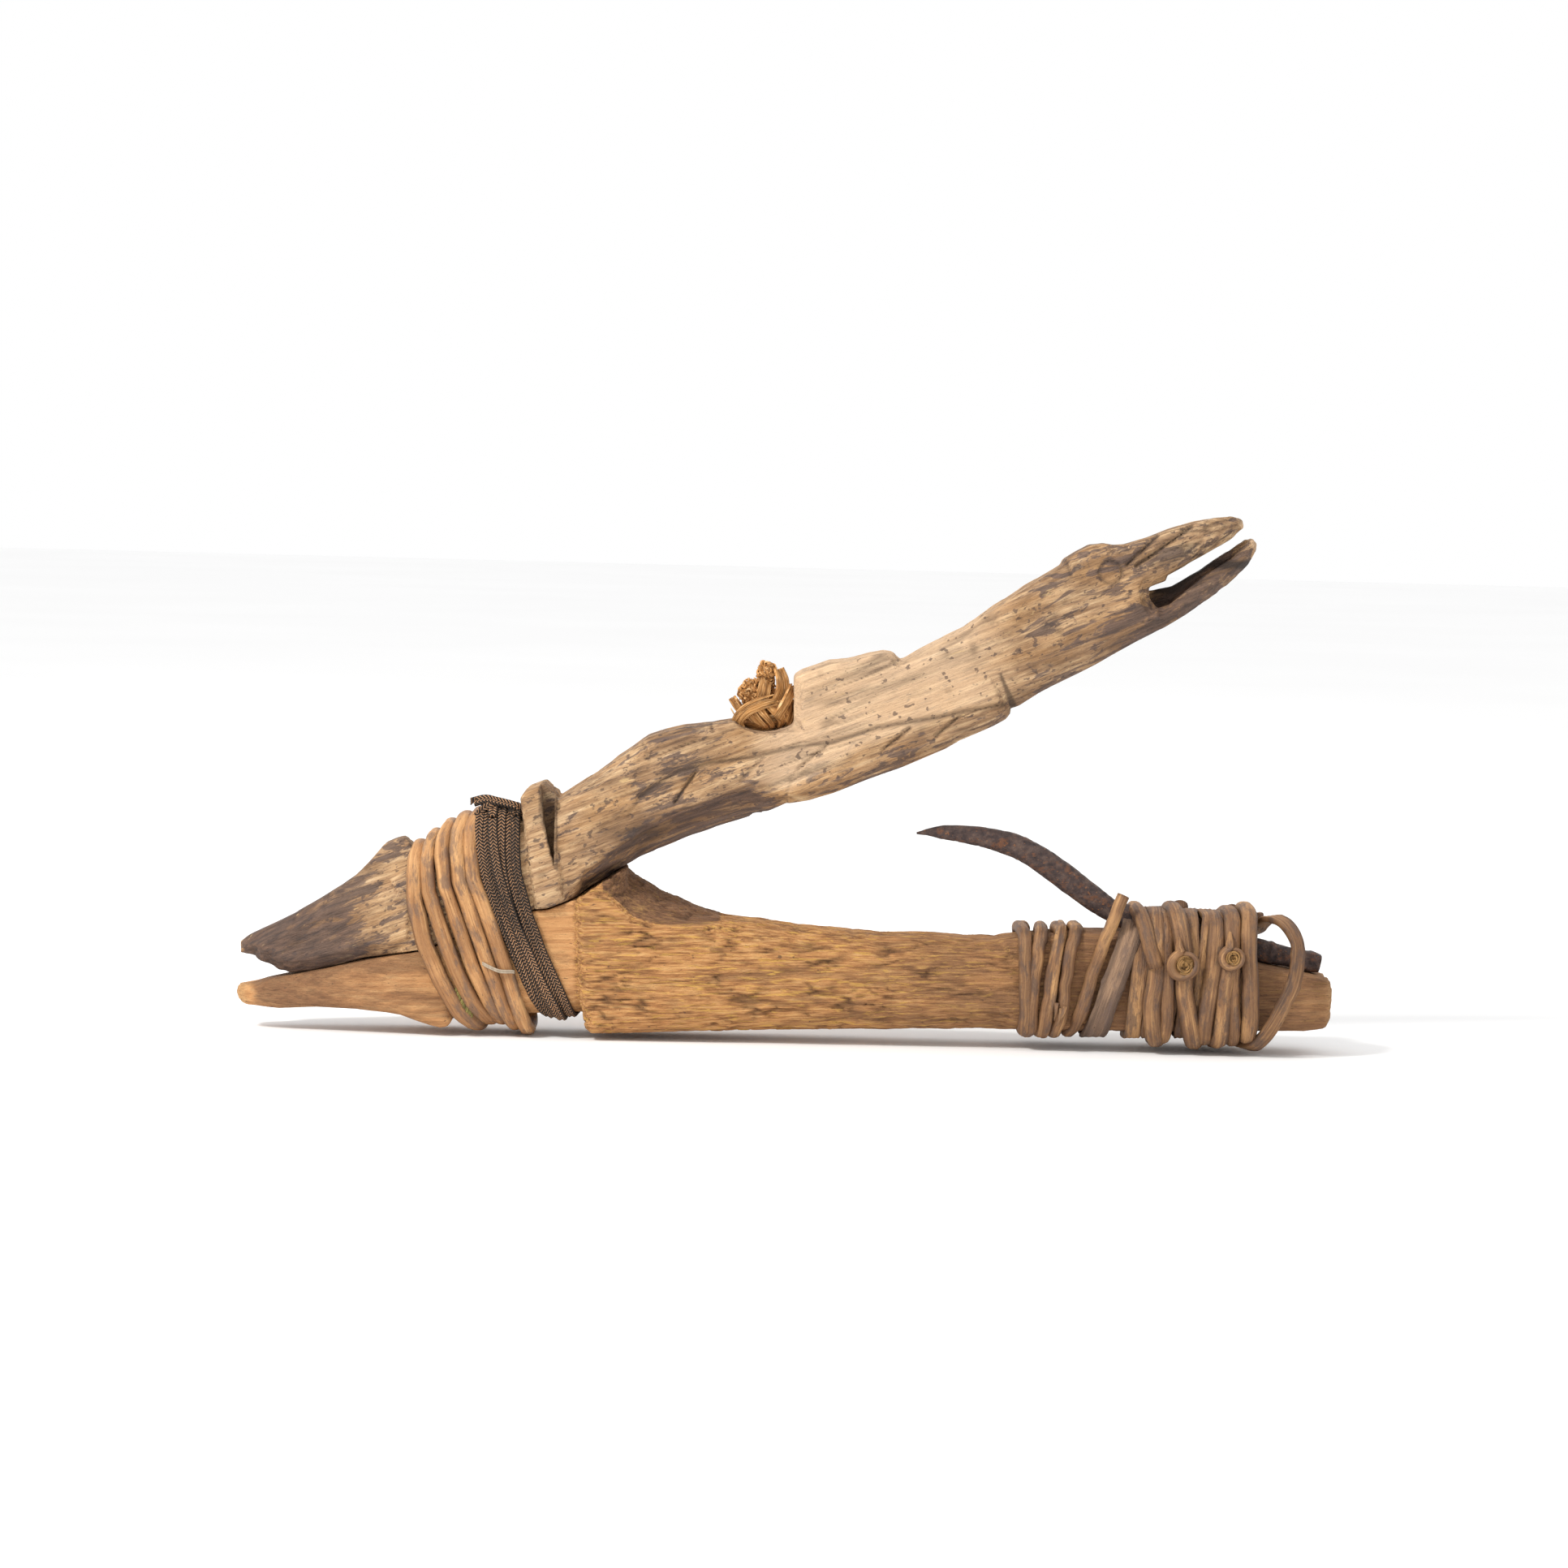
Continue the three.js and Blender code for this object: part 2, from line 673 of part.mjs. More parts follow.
// A root end doubled into a small eye on the front of a turn, and the cut end inside it.
const OUTER_FRONT_Y = -BARB_HALF_DEPTH - outerStandOff - OUTER_ROOT.thickness / 2;

function makeEye({ x, z, radius, thickness }) {
  const section = roundSection(thickness / 2, 8).map(([r, h]) => new THREE.Vector2(radius + r, h));
  section.push(section[0].clone());
  const geometry = new THREE.LatheGeometry(section, 16);
  geometry.translate(x, OUTER_FRONT_Y - GAP - thickness / 2, z);
  return geometry;
}

function makeRootEnd({ x, z, endRadius }) {
  const geometry = new THREE.CylinderGeometry(0.85 * endRadius, endRadius, ROOT_END_LENGTH, 10);
  geometry.translate(x, OUTER_FRONT_Y - GAP - ROOT_END_LENGTH / 2, z);
  return geometry;
}

// ---------------------------------------------------------------- leader stub and knot

// The stub fills the hole and stands up inside the knot, where its end is frayed.
function makeStub() {
  const profile = [
    [0, STUB_BOTTOM_Z], [STUB_RADIUS - 0.4, STUB_BOTTOM_Z], [STUB_RADIUS, STUB_BOTTOM_Z + 1],
    [STUB_RADIUS, SEAT_Z + 1], [2, SEAT_Z + 3], [2, SEAT_Z + 9.5], [2.3, SEAT_Z + 12],
    [2.1, SEAT_Z + 14.8], [0, SEAT_Z + 14.4],
  ];
  const geometry = new THREE.LatheGeometry(profile.map(([r, z]) => new THREE.Vector2(r, z)), 12);
  geometry.rotateX(Math.PI / 2);
  geometry.translate(HOLE_X, 0, 0);
  return geometry;
}

// Turns of bark strip round the stub, from `startZ` above the seat and rising on each turn.
function ringStations({ radius, startZ, rise, turns, stepsPerTurn, startAngle }) {
  const count = Math.round(turns * stepsPerTurn);
  return Array.from({ length: count + 1 }, (_, i) => {
    const angle = startAngle + (2 * Math.PI * i) / stepsPerTurn;
    const outward = new THREE.Vector3(Math.cos(angle), Math.sin(angle), 0);
    const point = outward.clone().multiplyScalar(radius);
    point.x += HOLE_X;
    point.z = SEAT_Z + startZ + (rise * i) / stepsPerTurn;
    return { point, outward };
  });
}

function knotStrip(width, thickness, points, steps = 12) {
  const placed = points.map(([x, y, z]) => [HOLE_X + x, y, SEAT_Z + z]);
  return sweepAround(stripSection({ width, thickness }), placed, [HOLE_X, 0, SEAT_Z + 4], steps);
}

function addKnot() {
  const baseRing = { radius: 4.3, startZ: 1.4, rise: 2.2, turns: 2.4, stepsPerTurn: 14, startAngle: 2 };
  const baseWraps = sweep(stripSection({ width: 1.9, thickness: 1.7 }), ringStations(baseRing));
  addPiece('knot_base_wraps', 'bark', baseWraps);
  const topRing = { radius: 3.3, startZ: 8.1, rise: 2, turns: 1.6, stepsPerTurn: 12, startAngle: 0 };
  const topWraps = sweep(stripSection({ width: 1.7, thickness: 1.5 }), ringStations(topRing));
  addPiece('knot_top_wraps', 'bark', topWraps);
  addPiece('knot_front_strip', 'bark', knotStrip(3, 1.1, [
    [-6.9, -1.5, 2], [-6.2, -4.8, 3.2], [-3.2, -6.6, 4.8], [0.4, -6.4, 6.2], [2.2, -5.4, 8],
  ]));
  addPiece('knot_right_strand', 'bark', knotStrip(2, 1.6, [
    [5.2, -3.6, 1.3], [6.4, -2.2, 3.8], [6.4, 0, 6.4], [5.9, 1.6, 9], [4.9, 2.4, 11.2],
  ]));
  addPiece('knot_back_strip', 'bark', knotStrip(2.8, 1.1, [
    [5, 4.4, 2], [2.6, 6.4, 3.2], [-1, 6.9, 5], [-4, 5.6, 7.4], [-4.6, 3.8, 9.4],
  ]));
  addPiece('knot_left_leaf', 'bark', knotStrip(2, 0.8, [
    [-6.6, 1, 1.2], [-7.4, 0.8, 3.8], [-8.4, 0.4, 5.6],
  ], 6));
  addPiece('knot_left_stub', 'bark', knotStrip(1.8, 1, [
    [-5.2, -2, 6.4], [-5.5, -2.2, 8.4], [-6, -2.4, 10.4],
  ], 6));
  addPiece('knot_right_leaf', 'bark', knotStrip(2.2, 0.8, [
    [3.8, -3.4, 8.6], [4.6, -3.2, 10.8], [4.4, -2.6, 13],
  ], 6));
}

// ---------------------------------------------------------------- assembly

addPiece('carved_arm', 'carvedWood', geometryOf(makeCarvedArm()));
addPiece('lower_arm', 'lowerWood', geometryOf(makeLowerArm()));
addPiece('iron_barb', 'iron', geometryOf(makeBarb()));

addPiece('joint_root_winding', 'splitRoot', makeJointWinding());
addPiece('joint_braid_winding', 'braid', makeBraidWinding());
addPiece('braid_tail', 'braid', makeBraidTail());
addPiece('packing_cord', 'moss', makePackingCord());
addPiece('fixing_thread', 'thread', makeFixingThread());

addPiece('barb_front_root', 'darkRoot', makeFrontRoot());
addPiece('barb_flat_root', 'darkRoot', makeFlatRoot());
addPiece('barb_inner_winding', 'darkRoot', makeInnerWinding());
addPiece('barb_outer_root_1', 'darkRoot', makeOuterWinding(-0.4));
addPiece('barb_outer_root_2', 'darkRoot', makeOuterWinding(16.6));
addPiece('barb_loose_loop', 'darkRoot', makeLooseLoop());
EYES.forEach((eye, i) => {
  addPiece(`root_eye_${i + 1}`, 'darkRoot', makeEye(eye));
  addPiece(`root_end_${i + 1}`, 'darkRoot', makeRootEnd(eye));
});

addPiece('leader_stub', 'bark', makeStub());
addKnot();

hook.rotation.y = LEVEL_ANGLE;
hook.position.copy(ORIGIN_SHIFT);

const part = new THREE.Group();
part.add(hook);

export default part;
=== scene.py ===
"""The looks of a wooden halibut hook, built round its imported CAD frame.

Shapes are drawn in millimetres in the hook's own drawing frame, where the lower arm's
underside runs along X, +Z is up and the front is at -Y. `placed` turns that frame by the
hook's levelling angle and moves it on to the row frame, in metres.
"""

import math
from itertools import product

import bpy
import numpy as np
from mathutils import Matrix, Vector


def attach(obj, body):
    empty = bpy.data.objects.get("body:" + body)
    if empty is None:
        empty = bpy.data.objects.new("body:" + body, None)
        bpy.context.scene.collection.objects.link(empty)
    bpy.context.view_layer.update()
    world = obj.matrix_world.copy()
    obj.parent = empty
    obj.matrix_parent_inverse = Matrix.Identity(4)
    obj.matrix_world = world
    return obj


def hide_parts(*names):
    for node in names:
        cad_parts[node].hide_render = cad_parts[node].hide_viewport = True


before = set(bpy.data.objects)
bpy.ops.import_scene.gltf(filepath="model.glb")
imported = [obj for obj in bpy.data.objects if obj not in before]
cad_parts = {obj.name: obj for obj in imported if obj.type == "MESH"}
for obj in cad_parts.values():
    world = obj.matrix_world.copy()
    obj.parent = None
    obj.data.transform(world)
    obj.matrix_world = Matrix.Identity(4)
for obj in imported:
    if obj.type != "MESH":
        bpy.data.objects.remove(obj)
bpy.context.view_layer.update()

LEVEL_ANGLE = math.radians(-1.46)
ORIGIN_SHIFT = (0.57, 1.65, -2.32)
GRID_STEP = 0.52
COS_45 = 0.7071
FRONTWARD = (0, -1.0, 0)


def placed(points):
    """Points of the drawing frame, in millimetres, moved to the row frame, in metres."""
    points = np.asarray(points, float)
    x, y, z = points[:, 0], points[:, 1], points[:, 2]
    cos, sin = math.cos(LEVEL_ANGLE), math.sin(LEVEL_ANGLE)
    turned = np.stack([x * cos + z * sin, y, z * cos - x * sin], 1)
    return (turned + ORIGIN_SHIFT) / 1000


# ---------------------------------------------------------------- random surfaces


def value_noise(points, seed):
    """Smooth random values from -1 to 1, with one new value for each unit step."""
    cell = np.floor(points).astype(np.int64)
    part = points - cell
    ease = part * part * (3 - 2 * part)
    total = np.zeros(len(points))
    for corner in product((0, 1), repeat=3):
        c = cell + corner
        mixed = (c[:, 0] * 73856093) ^ (c[:, 1] * 19349663) ^ (c[:, 2] * 83492791) ^ (seed * 2654435)
        mixed = mixed & 0xFFFFFFFF
        mixed = ((mixed ^ (mixed >> 15)) * 2246822519) & 0xFFFFFFFF
        mixed = ((mixed ^ (mixed >> 13)) * 3266489917) & 0xFFFFFFFF
        value = (mixed ^ (mixed >> 16)) / 2**31 - 1
        weight = np.prod(np.where(corner, ease, 1 - ease), axis=1)
        total += weight * value
    return total


def layered_noise(points, seed, layers=3):
    total = np.zeros(len(points))
    for layer in range(layers):
        total += value_noise(points * 2**layer, seed + 31 * layer) / 2**layer
    return total / 1.6


def ridges(points, seed, layers=2):
    """Narrow random creases: 1 in the middle of a crease, falling to 0 away from it."""
    return np.clip(1 - np.abs(layered_noise(points, seed, layers)) * 5, 0, 1)


# ---------------------------------------------------------------- meshes


def make_mesh(name, vertices, faces, attributes=(), in_place=False):
    """A mesh object from drawing-frame vertices, with named per-vertex attributes."""
    mesh = bpy.data.meshes.new(name)
    points = np.asarray(vertices) if in_place else placed(vertices)
    mesh.from_pydata(points.tolist(), [], [list(map(int, face)) for face in faces])
    for key, values in dict(attributes).items():
        values = np.asarray(values, np.float32)
        kind, field = ("FLOAT", "value") if values.ndim == 1 else ("FLOAT_VECTOR", "vector")
        mesh.attributes.new(key, kind, "POINT").data.foreach_set(field, values.ravel())
    mesh.polygons.foreach_set("use_smooth", [True] * len(mesh.polygons))
    mesh.update()
    piece = bpy.data.objects.new(name, mesh)
    bpy.context.scene.collection.objects.link(piece)
    return piece


def add_piece(name, shape, body, material, node):
    """A visible piece of a (vertices, faces, attributes) shape, in place of a CAD node."""
    piece = make_mesh(name, *shape)
    piece.data.materials.append(material)
    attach(piece, body)
    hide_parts(node)


def vertex_normals(vertices, quads):
    corners = vertices[quads]
    face = np.cross(corners[:, 2] - corners[:, 0], corners[:, 3] - corners[:, 1])
    normals = np.zeros_like(vertices)
    for k in range(4):
        for axis in range(3):
            normals[:, axis] += np.bincount(quads[:, k], face[:, axis], len(vertices))
    return normals / np.maximum(np.linalg.norm(normals, axis=1, keepdims=True), 1e-9)


# ---------------------------------------------------------------- carved solids


def line_distance(x, z, points):
    """Distance in the X-Z plane from an open line through points."""
    nearest = np.full(x.shape, np.inf)
    for (ax, az), (bx, bz) in zip(points, points[1:]):
        ex, ez = bx - ax, bz - az
        part = np.clip(((x - ax) * ex + (z - az) * ez) / (ex * ex + ez * ez), 0, 1)
        nearest = np.minimum(nearest, (x - ax - part * ex) ** 2 + (z - az - part * ez) ** 2)
    return np.sqrt(nearest)


def near_line(x, z, points, width):
    """1 on a line through points, falling to 0 at a distance of width from it."""
    return np.clip(1 - line_distance(x, z, points) / width, 0, 1)


class Block:
    """A grid round a carved solid, in the drawing frame. Each shape on it is a field that is
    negative inside the wood, in millimetres from its surface."""

    def __init__(self, low, high, step):
        self.low, self.step = np.array(low, float), step
        counts = [int((h - l) / step) + 1 for l, h in zip(low, high)]
        self.x, self.y, self.z = (l + step * np.arange(n) for l, n in zip(low, counts))
        self.plan_x, self.plan_z = np.meshgrid(self.x, self.z, indexing="ij")

    def outline(self, points):
        """Signed distance in the X-Z plane from a closed outline."""
        x, z = self.plan_x, self.plan_z
        closed = points + points[:1]
        inside = np.zeros(x.shape, bool)
        for (ax, az), (bx, bz) in zip(closed, closed[1:]):
            crosses = (az > z) != (bz > z)
            inside ^= crosses & (x < (bx - ax) * (z - az) / (bz - az + 1e-12) + ax)
        return np.where(inside, -1, 1) * line_distance(x, z, closed)

    def line(self, points):
        return line_distance(self.plan_x, self.plan_z, points)

    def height_over(self, points):
        """Height above a line given as z at each of a few x."""
        xs, zs = zip(*points)
        return self.plan_z - np.interp(self.plan_x, xs, zs)

    def board(self, points, depths, edge, rounded=False, front_cut=0.0):
        """A board of an outline. `depths` gives its half depth at a few x, `edge` the width
        of its chamfers or the radius of its rounding, `front_cut` what is pared off the front."""
        flat = self.outline(points)[:, None, :]
        half = np.interp(self.x, *zip(*depths))[:, None, None]
        edge, front_cut = (v[:, None, :] if isinstance(v, np.ndarray) else v for v in (edge, front_cut))
        side = np.abs(self.y)[None, :, None] - half + (self.y < 0)[None, :, None] * front_cut
        if rounded:
            out_flat, out_side = np.maximum(flat + edge, 0), np.maximum(side + edge, 0)
            within = np.minimum(np.maximum(flat + edge, side + edge), 0)
            return within + np.sqrt(out_flat**2 + out_side**2) - edge
        return np.maximum(np.maximum(flat, side), (flat + side + edge) * COS_45)

    def surface(self, field):
        """The zero surface of a field, as vertices and quads that face outwards."""
        inside = field < 0
        strides = np.array([field.shape[1] * field.shape[2], field.shape[2], 1])
        cells, spots = [], []
        for axis in range(3):
            lower = tuple(slice(None, -1) if k == axis else slice(None) for k in range(3))
            upper = tuple(slice(1, None) if k == axis else slice(None) for k in range(3))
            start = np.argwhere(inside[lower] != inside[upper])
            end = start + (np.arange(3) == axis)
            f0, f1 = field[tuple(start.T)], field[tuple(end.T)]
            cross = start.astype(float)
            cross[:, axis] += f0 / (f0 - f1)
            u, v = (axis + 1) % 3, (axis + 2) % 3
            ring = []
            for du, dv in ((-1, -1), (0, -1), (0, 0), (-1, 0)):
                cell = start.copy()
                cell[:, u] += du
                cell[:, v] += dv
                ring.append(cell @ strides)
            ring = np.stack(ring, 1)
            outward = inside[tuple(start.T)]
            cells.append(np.where(outward[:, None], ring, ring[:, ::-1]))
            spots.append(np.repeat(cross, 4, axis=0))
        cells, spots = np.concatenate(cells), np.concatenate(spots)
        _, index = np.unique(cells.ravel(), return_inverse=True)
        index = index.ravel()
        count = np.bincount(index)
        vertices = np.stack([np.bincount(index, spots[:, k]) / count for k in range(3)], 1)
        return self.low + self.step * vertices, index.reshape(-1, 4)


def along_grain(vertices, angle):
    """Coordinates in millimetres with the first along the grain, which leans by angle."""
    cos, sin = math.cos(math.radians(angle)), math.sin(math.radians(angle))
    x, y, z = vertices.T
    return np.stack([x * cos + z * sin, y, z * cos - x * sin], 1)


def notch(distance, depth, width):
    """How deep a V-shaped cut of that width is at a distance from its middle."""
    return depth * np.clip(1 - distance / width, 0, 1)


# The leader's hole, the dished seat of its knot, and the step where the body rises beyond it.
HOLE_X = -5.6
HOLE_RADIUS = 3.4
SEAT_Z = 84.6
DISH_RADIUS = 12.7
DISH_RISE = 10.5
STEP_X = 2.4

# How far the carved arm's grain leans up, in degrees.
UPPER_GRAIN = 20

# A field's value where a cut doesn't reach.
UNCUT = -99

# The flat parting between the arms, as z at each x, and the gap left along it.
PARTING_GAP = 0.45
PARTING = [(-141, 24), (-129, 20.9), (-126, 20), (-115.5, 22.2), (-106.2, 24.4), (-92.5, 26.6), (-63, 37.1),
           (-59.8, 37.3), (-52.7, 39.9), (-41.3, 47), (-30.4, 52.2)]

# The ridge along the body's front, with the wood pared back below it.
RIDGE = [(-70, 20), (-56, 36), (-53, 41.5), (-50.3, 47.5), (-44.8, 51.6), (-34.5, 59.1), (-26.2, 63.2),
         (-15.2, 66.7), (-9, 68), (1.3, 66), (9, 63)]
# The wedge cut into the flange, from the front to this far behind the middle.
NOTCH_BACK = -7.5
FLANGE_NOTCH = [(-62, 72), (-61.3, 66), (-60.7, 60), (-59.6, 54), (-58.2, 48), (-58, 60), (-58, 66),
                (-57.4, 72)]
# The long incised line on the body's side.
LATERAL = [(55.6, 88.9), (44.3, 86.8), (34.1, 84.8), (23.7, 83), (12.3, 79.4), (4, 78.3), (-7.7, 75.6),
           (-18, 74.2), (-26.2, 72.2), (-31, 69.4), (-36.6, 65.3)]
# Knife cuts across the body and the head: both ends, and how plain each one is.
BODY_CUTS = [([(-27.6, 64.2), (-22, 72.2)], 1.0), ([(-10.9, 69.7), (-4.6, 76)], 0.55),
             ([(3.6, 72.7), (11.3, 79)], 0.65), ([(25, 77.4), (31.9, 83)], 0.7),
             ([(38.3, 80.8), (44.6, 86.2)], 0.75), ([(-39.4, 60.6), (-36.2, 65.4)], 0.35),
             ([(-35.8, 79), (-33.9, 75)], 0.5), ([(-18.7, 84), (-18, 82)], 0.6),
             ([(0.6, 66.5), (3.6, 72.7)], 0.3)]
HEAD_CUTS = [([(86.4, 124.1), (94.4, 131.2)], 1.1), ([(88.8, 123.8), (103.2, 133.7)], 1.1),
             ([(71.3, 125), (72.2, 121.4)], 0.6)]
CUT_DEPTH = 1.1
CUT_WIDTH = 0.75
EYE_AT = (82.4, 122.2)
EYE_RADIUS = 2.85


def carved_arm_field(block):
    beak = block.board(
        [(-138.9, 24.9), (-135.6, 24.5), (-133.8, 23), (-131.5, 22.4), (-129, 20.9), (-126.1, 20.1),
         (-120.7, 20.9), (-115.5, 22.2), (-106.2, 24.5), (-98.1, 25.5), (-92.5, 26.5), (-92, 40),
         (-94.2, 52.2), (-96.9, 54.7), (-99.2, 54.1), (-101.8, 53), (-105.8, 48.1), (-109, 45),
         (-113.5, 41.9), (-119.3, 38.2), (-125.7, 34.6), (-132.3, 31.5), (-137, 29.3), (-138.9, 27.8)],
        [(-140, 4.5), (-130, 7), (-115, 10), (-99, 12.6), (-90, 12.6)], 3.2)
    beak = np.maximum(beak, 0.75 * (np.abs(block.y)[None, :, None] - 12.6
                                    + 0.5 * block.height_over([(-140, 24), (-92, 38)])[:, None, :]))
    grooved = block.board(
        [(-101, 12), (-101, 45), (-93.4, 49.4), (-90.3, 51.4), (-85.9, 54.4), (-82.2, 56.2), (-77.8, 58),
         (-66.8, 60), (-58, 60.9), (-58, 12)], [(-100, 12), (-50, 12)], 7, rounded=True)
    flange = block.board(
        [(-61.6, 30), (-63, 37.1), (-64.8, 50), (-66.6, 65.3), (-65.4, 67), (-61.2, 68.6), (-57.5, 65.3),
         (-56.5, 50), (-55, 37), (-54, 30)], [(-70, 13.6), (-58, 13.6), (-53, 12.4)], 0.9)
    pared = 0.9 * np.clip(-block.height_over(RIDGE), 0, 12)
    incised = notch(block.line(LATERAL), 0.9, 1.1)
    for cut, plainness in BODY_CUTS:
        incised = np.maximum(incised, notch(block.line(cut), CUT_DEPTH * plainness, CUT_WIDTH))
    below_lateral = block.height_over([(-60, 50), (-36.6, 65.3), (-31, 69.4), (-18, 74.2), (4, 78.3),
                                       (23.7, 83), (44.3, 86.8), (60, 89)])
    step_down = 0.8 * np.clip(-below_lateral / 1.5, 0, 1)
    body = block.board(
        [(-62, 30), (-62, 58), (-58.5, 63.8), (-54.4, 66.6), (-50.3, 69.2), (-46, 72.2), (-41.8, 75.4),
         (-37.2, 78.6), (-34.5, 80.5), (-30.6, 81.8), (-26.2, 82.7), (-19.4, 83.6), (-12.5, 84.6),
         (9, 84.6), (9, 67.5), (6.1, 64.5), (0.5, 63.6), (-3.5, 61.6), (-9, 59.8), (-16.6, 57.4),
         (-22.8, 55.3), (-30.4, 52.2), (-36.6, 49.8), (-41.3, 47), (-52.7, 39.9), (-55, 30)],
        [(-62, 13), (-54, 12.6), (-46, 12), (10, 12)], 2.8,
        front_cut=np.maximum(pared, incised + step_down * 0.6))
    middle = block.board(
        [(0.5, 63.6), (2.3, 76), (2.5, 94.2), (2.6, 95.6), (4.7, 97), (11.5, 99.5), (16.4, 99.8),
         (21.9, 101.3), (25.4, 102), (27.7, 101.6), (29.7, 99.7), (30.8, 100), (37.4, 103.6), (46.4, 108.1),
         (52, 111.9), (54.3, 96), (57.4, 88.4), (57.3, 86.6), (56, 85), (53, 83.4), (49.8, 82),
         (44.3, 79.6), (40.9, 77.5), (28.7, 72.5), (21.9, 70.1), (12.3, 66.3), (6.1, 64.5)],
        [(0, 12.25), (60, 12.2)], 2.4, front_cut=incised + step_down)
    neck = block.board(
        [(46, 84), (46, 107.9), (54, 113.6), (62.2, 118.8), (70.5, 123.9), (71.2, 125.3), (74.6, 127.3),
         (78, 128.9), (81.5, 129.3), (83.5, 128.9), (86.9, 129.1), (92.5, 130.8), (96, 132.1), (97, 120),
         (92.7, 118.4), (92.5, 118), (92.7, 115.6), (94.5, 113), (97.5, 114), (99.5, 110.2), (95.9, 108.1),
         (85.6, 102.6), (77.3, 98.1), (67.7, 93.3), (62.2, 89.9), (59.5, 88.3)],
        [(45, 12.3), (54, 12.2), (62, 11.5), (72, 10.8), (90, 10), (100, 9)], 3,
        front_cut=head_incisions(block))
    upper_jaw = block.board(
        [(86, 119), (86.9, 129.1), (92.5, 130.8), (97.9, 132.9), (104.1, 134.7), (109.6, 135.8),
         (113.8, 136.1), (116.2, 135.6), (116.7, 133.5), (113.1, 130.4), (106.2, 126.3), (99.4, 122.5),
         (94.5, 119.8), (92.7, 118.4)], [(86, 10), (100, 9), (117, 4.6)], 1.8,
        front_cut=head_incisions(block))
    lower_jaw = block.board(
        [(86, 104), (88, 113.4), (94.5, 113), (95.6, 112.2), (98.7, 115), (106.2, 120.8), (113.1, 125.3),
         (118.4, 130.2), (118.9, 130.8), (120.1, 129.4), (119.9, 127.3), (117.8, 123.9), (113.1, 119.4),
         (107.6, 115.3), (101.4, 111.2), (95.9, 108.1)], [(86, 10), (100, 9), (120, 4)], 1.8)
    far_lip = block.board(
        [(90, 112), (93.1, 117.2), (98.7, 118.4), (106.2, 122.5), (113.1, 127.4), (117.8, 130.4),
         (119.6, 128.6), (112, 119.8), (101, 112)], [(86, 9.6), (100, 8.6), (120, 3.8)], 1.4)
    far_lip = np.maximum(far_lip, -(block.y[None, :, None] - 1.0))

    below = -block.height_over(PARTING)[:, None, :]
    joined = np.minimum.reduce([grooved, flange, body])
    wedge = block.outline(FLANGE_NOTCH)[:, None, :]
    joined = np.maximum(joined, -np.maximum(wedge, block.y[None, :, None] - NOTCH_BACK))
    joined = np.maximum(joined, np.where((block.plan_x < -40)[:, None, :], below, UNCUT))
    whole = np.minimum.reduce([joined, beak, middle, neck, upper_jaw, lower_jaw, far_lip])
    bore_distance = np.hypot(block.x[:, None] - HOLE_X, block.y[None, :])[:, :, None]
    whole = np.maximum(whole, HOLE_RADIUS - bore_distance)
    behind = np.maximum(block.y + 1, 0)[None, :, None]
    dished = np.sqrt((block.x[:, None, None] - HOLE_X - 1) ** 2 + behind**2
                     + (block.z[None, None, :] - SEAT_Z - DISH_RISE - 0.08 * block.y[None, :, None]) ** 2)
    near_seat = (block.x < STEP_X)[:, None, None]
    return np.where(near_seat, np.maximum(whole, DISH_RADIUS - dished), whole)


def head_incisions(block):
    """Cuts on the head: two mouth lines, the eye ring and the facet beside it."""
    eye = np.abs(np.hypot(block.plan_x - EYE_AT[0], block.plan_z - EYE_AT[1]) - EYE_RADIUS)
    cut = notch(eye, 0.6, 0.7)
    for line, plainness in HEAD_CUTS:
        cut = np.maximum(cut, notch(block.line(line), CUT_DEPTH * plainness, CUT_WIDTH))
    behind_shoulder = np.clip((97 - block.plan_z) / 8, 0, 1) * np.clip((74 - block.plan_x) / 14, 0, 1)
    return np.maximum(cut, 2.4 * behind_shoulder)


def carved_cut_shade(vertices):
    """Where the front of the carved arm is incised, for painted shade in the cuts, the shoulder's V, the
    flange notch's wall and the mouth.
    """
    x, y, z = vertices.T
    eye = np.abs(np.hypot(x - EYE_AT[0], z - EYE_AT[1]) - EYE_RADIUS)
    cut = 0.6 * np.clip(1.2 - eye / 0.55, 0, 1)
    for line, plainness in [*BODY_CUTS, *HEAD_CUTS]:
        cut = np.maximum(cut, plainness * near_line(x, z, line, 0.62))
    cut = np.maximum(cut, 0.7 * near_line(x, z, LATERAL, 0.9))
    # Painted shadow in the V beside the neck's shoulder.
    shoulder = near_line(x, z, [(54.6, 96.5), (58.2, 88), (58, 86)], np.interp(z, [86, 96], [1.5, 0.5]))
    cut = np.maximum(cut, np.clip(1.6 * shoulder, 0, 0.8))
    cut = np.where(y < 0, cut, 0)
    # Painted shade on the flange notch's wall and inside the open mouth.
    notch_wall = (x > -61.8) & (x < -57.2) & (z > 47) & (y < 3) & (z > 40 - 3.6 * (x + 56))
    throat = np.interp(x, [92, 99, 108], [0, 3.2, 1.6])
    mouth = np.clip(throat - np.abs(z - np.interp(x, [92, 108], [115.5, 124])), 0, 1) * 1.1
    return np.maximum(cut, mouth + np.where(notch_wall, 0.55, 0))


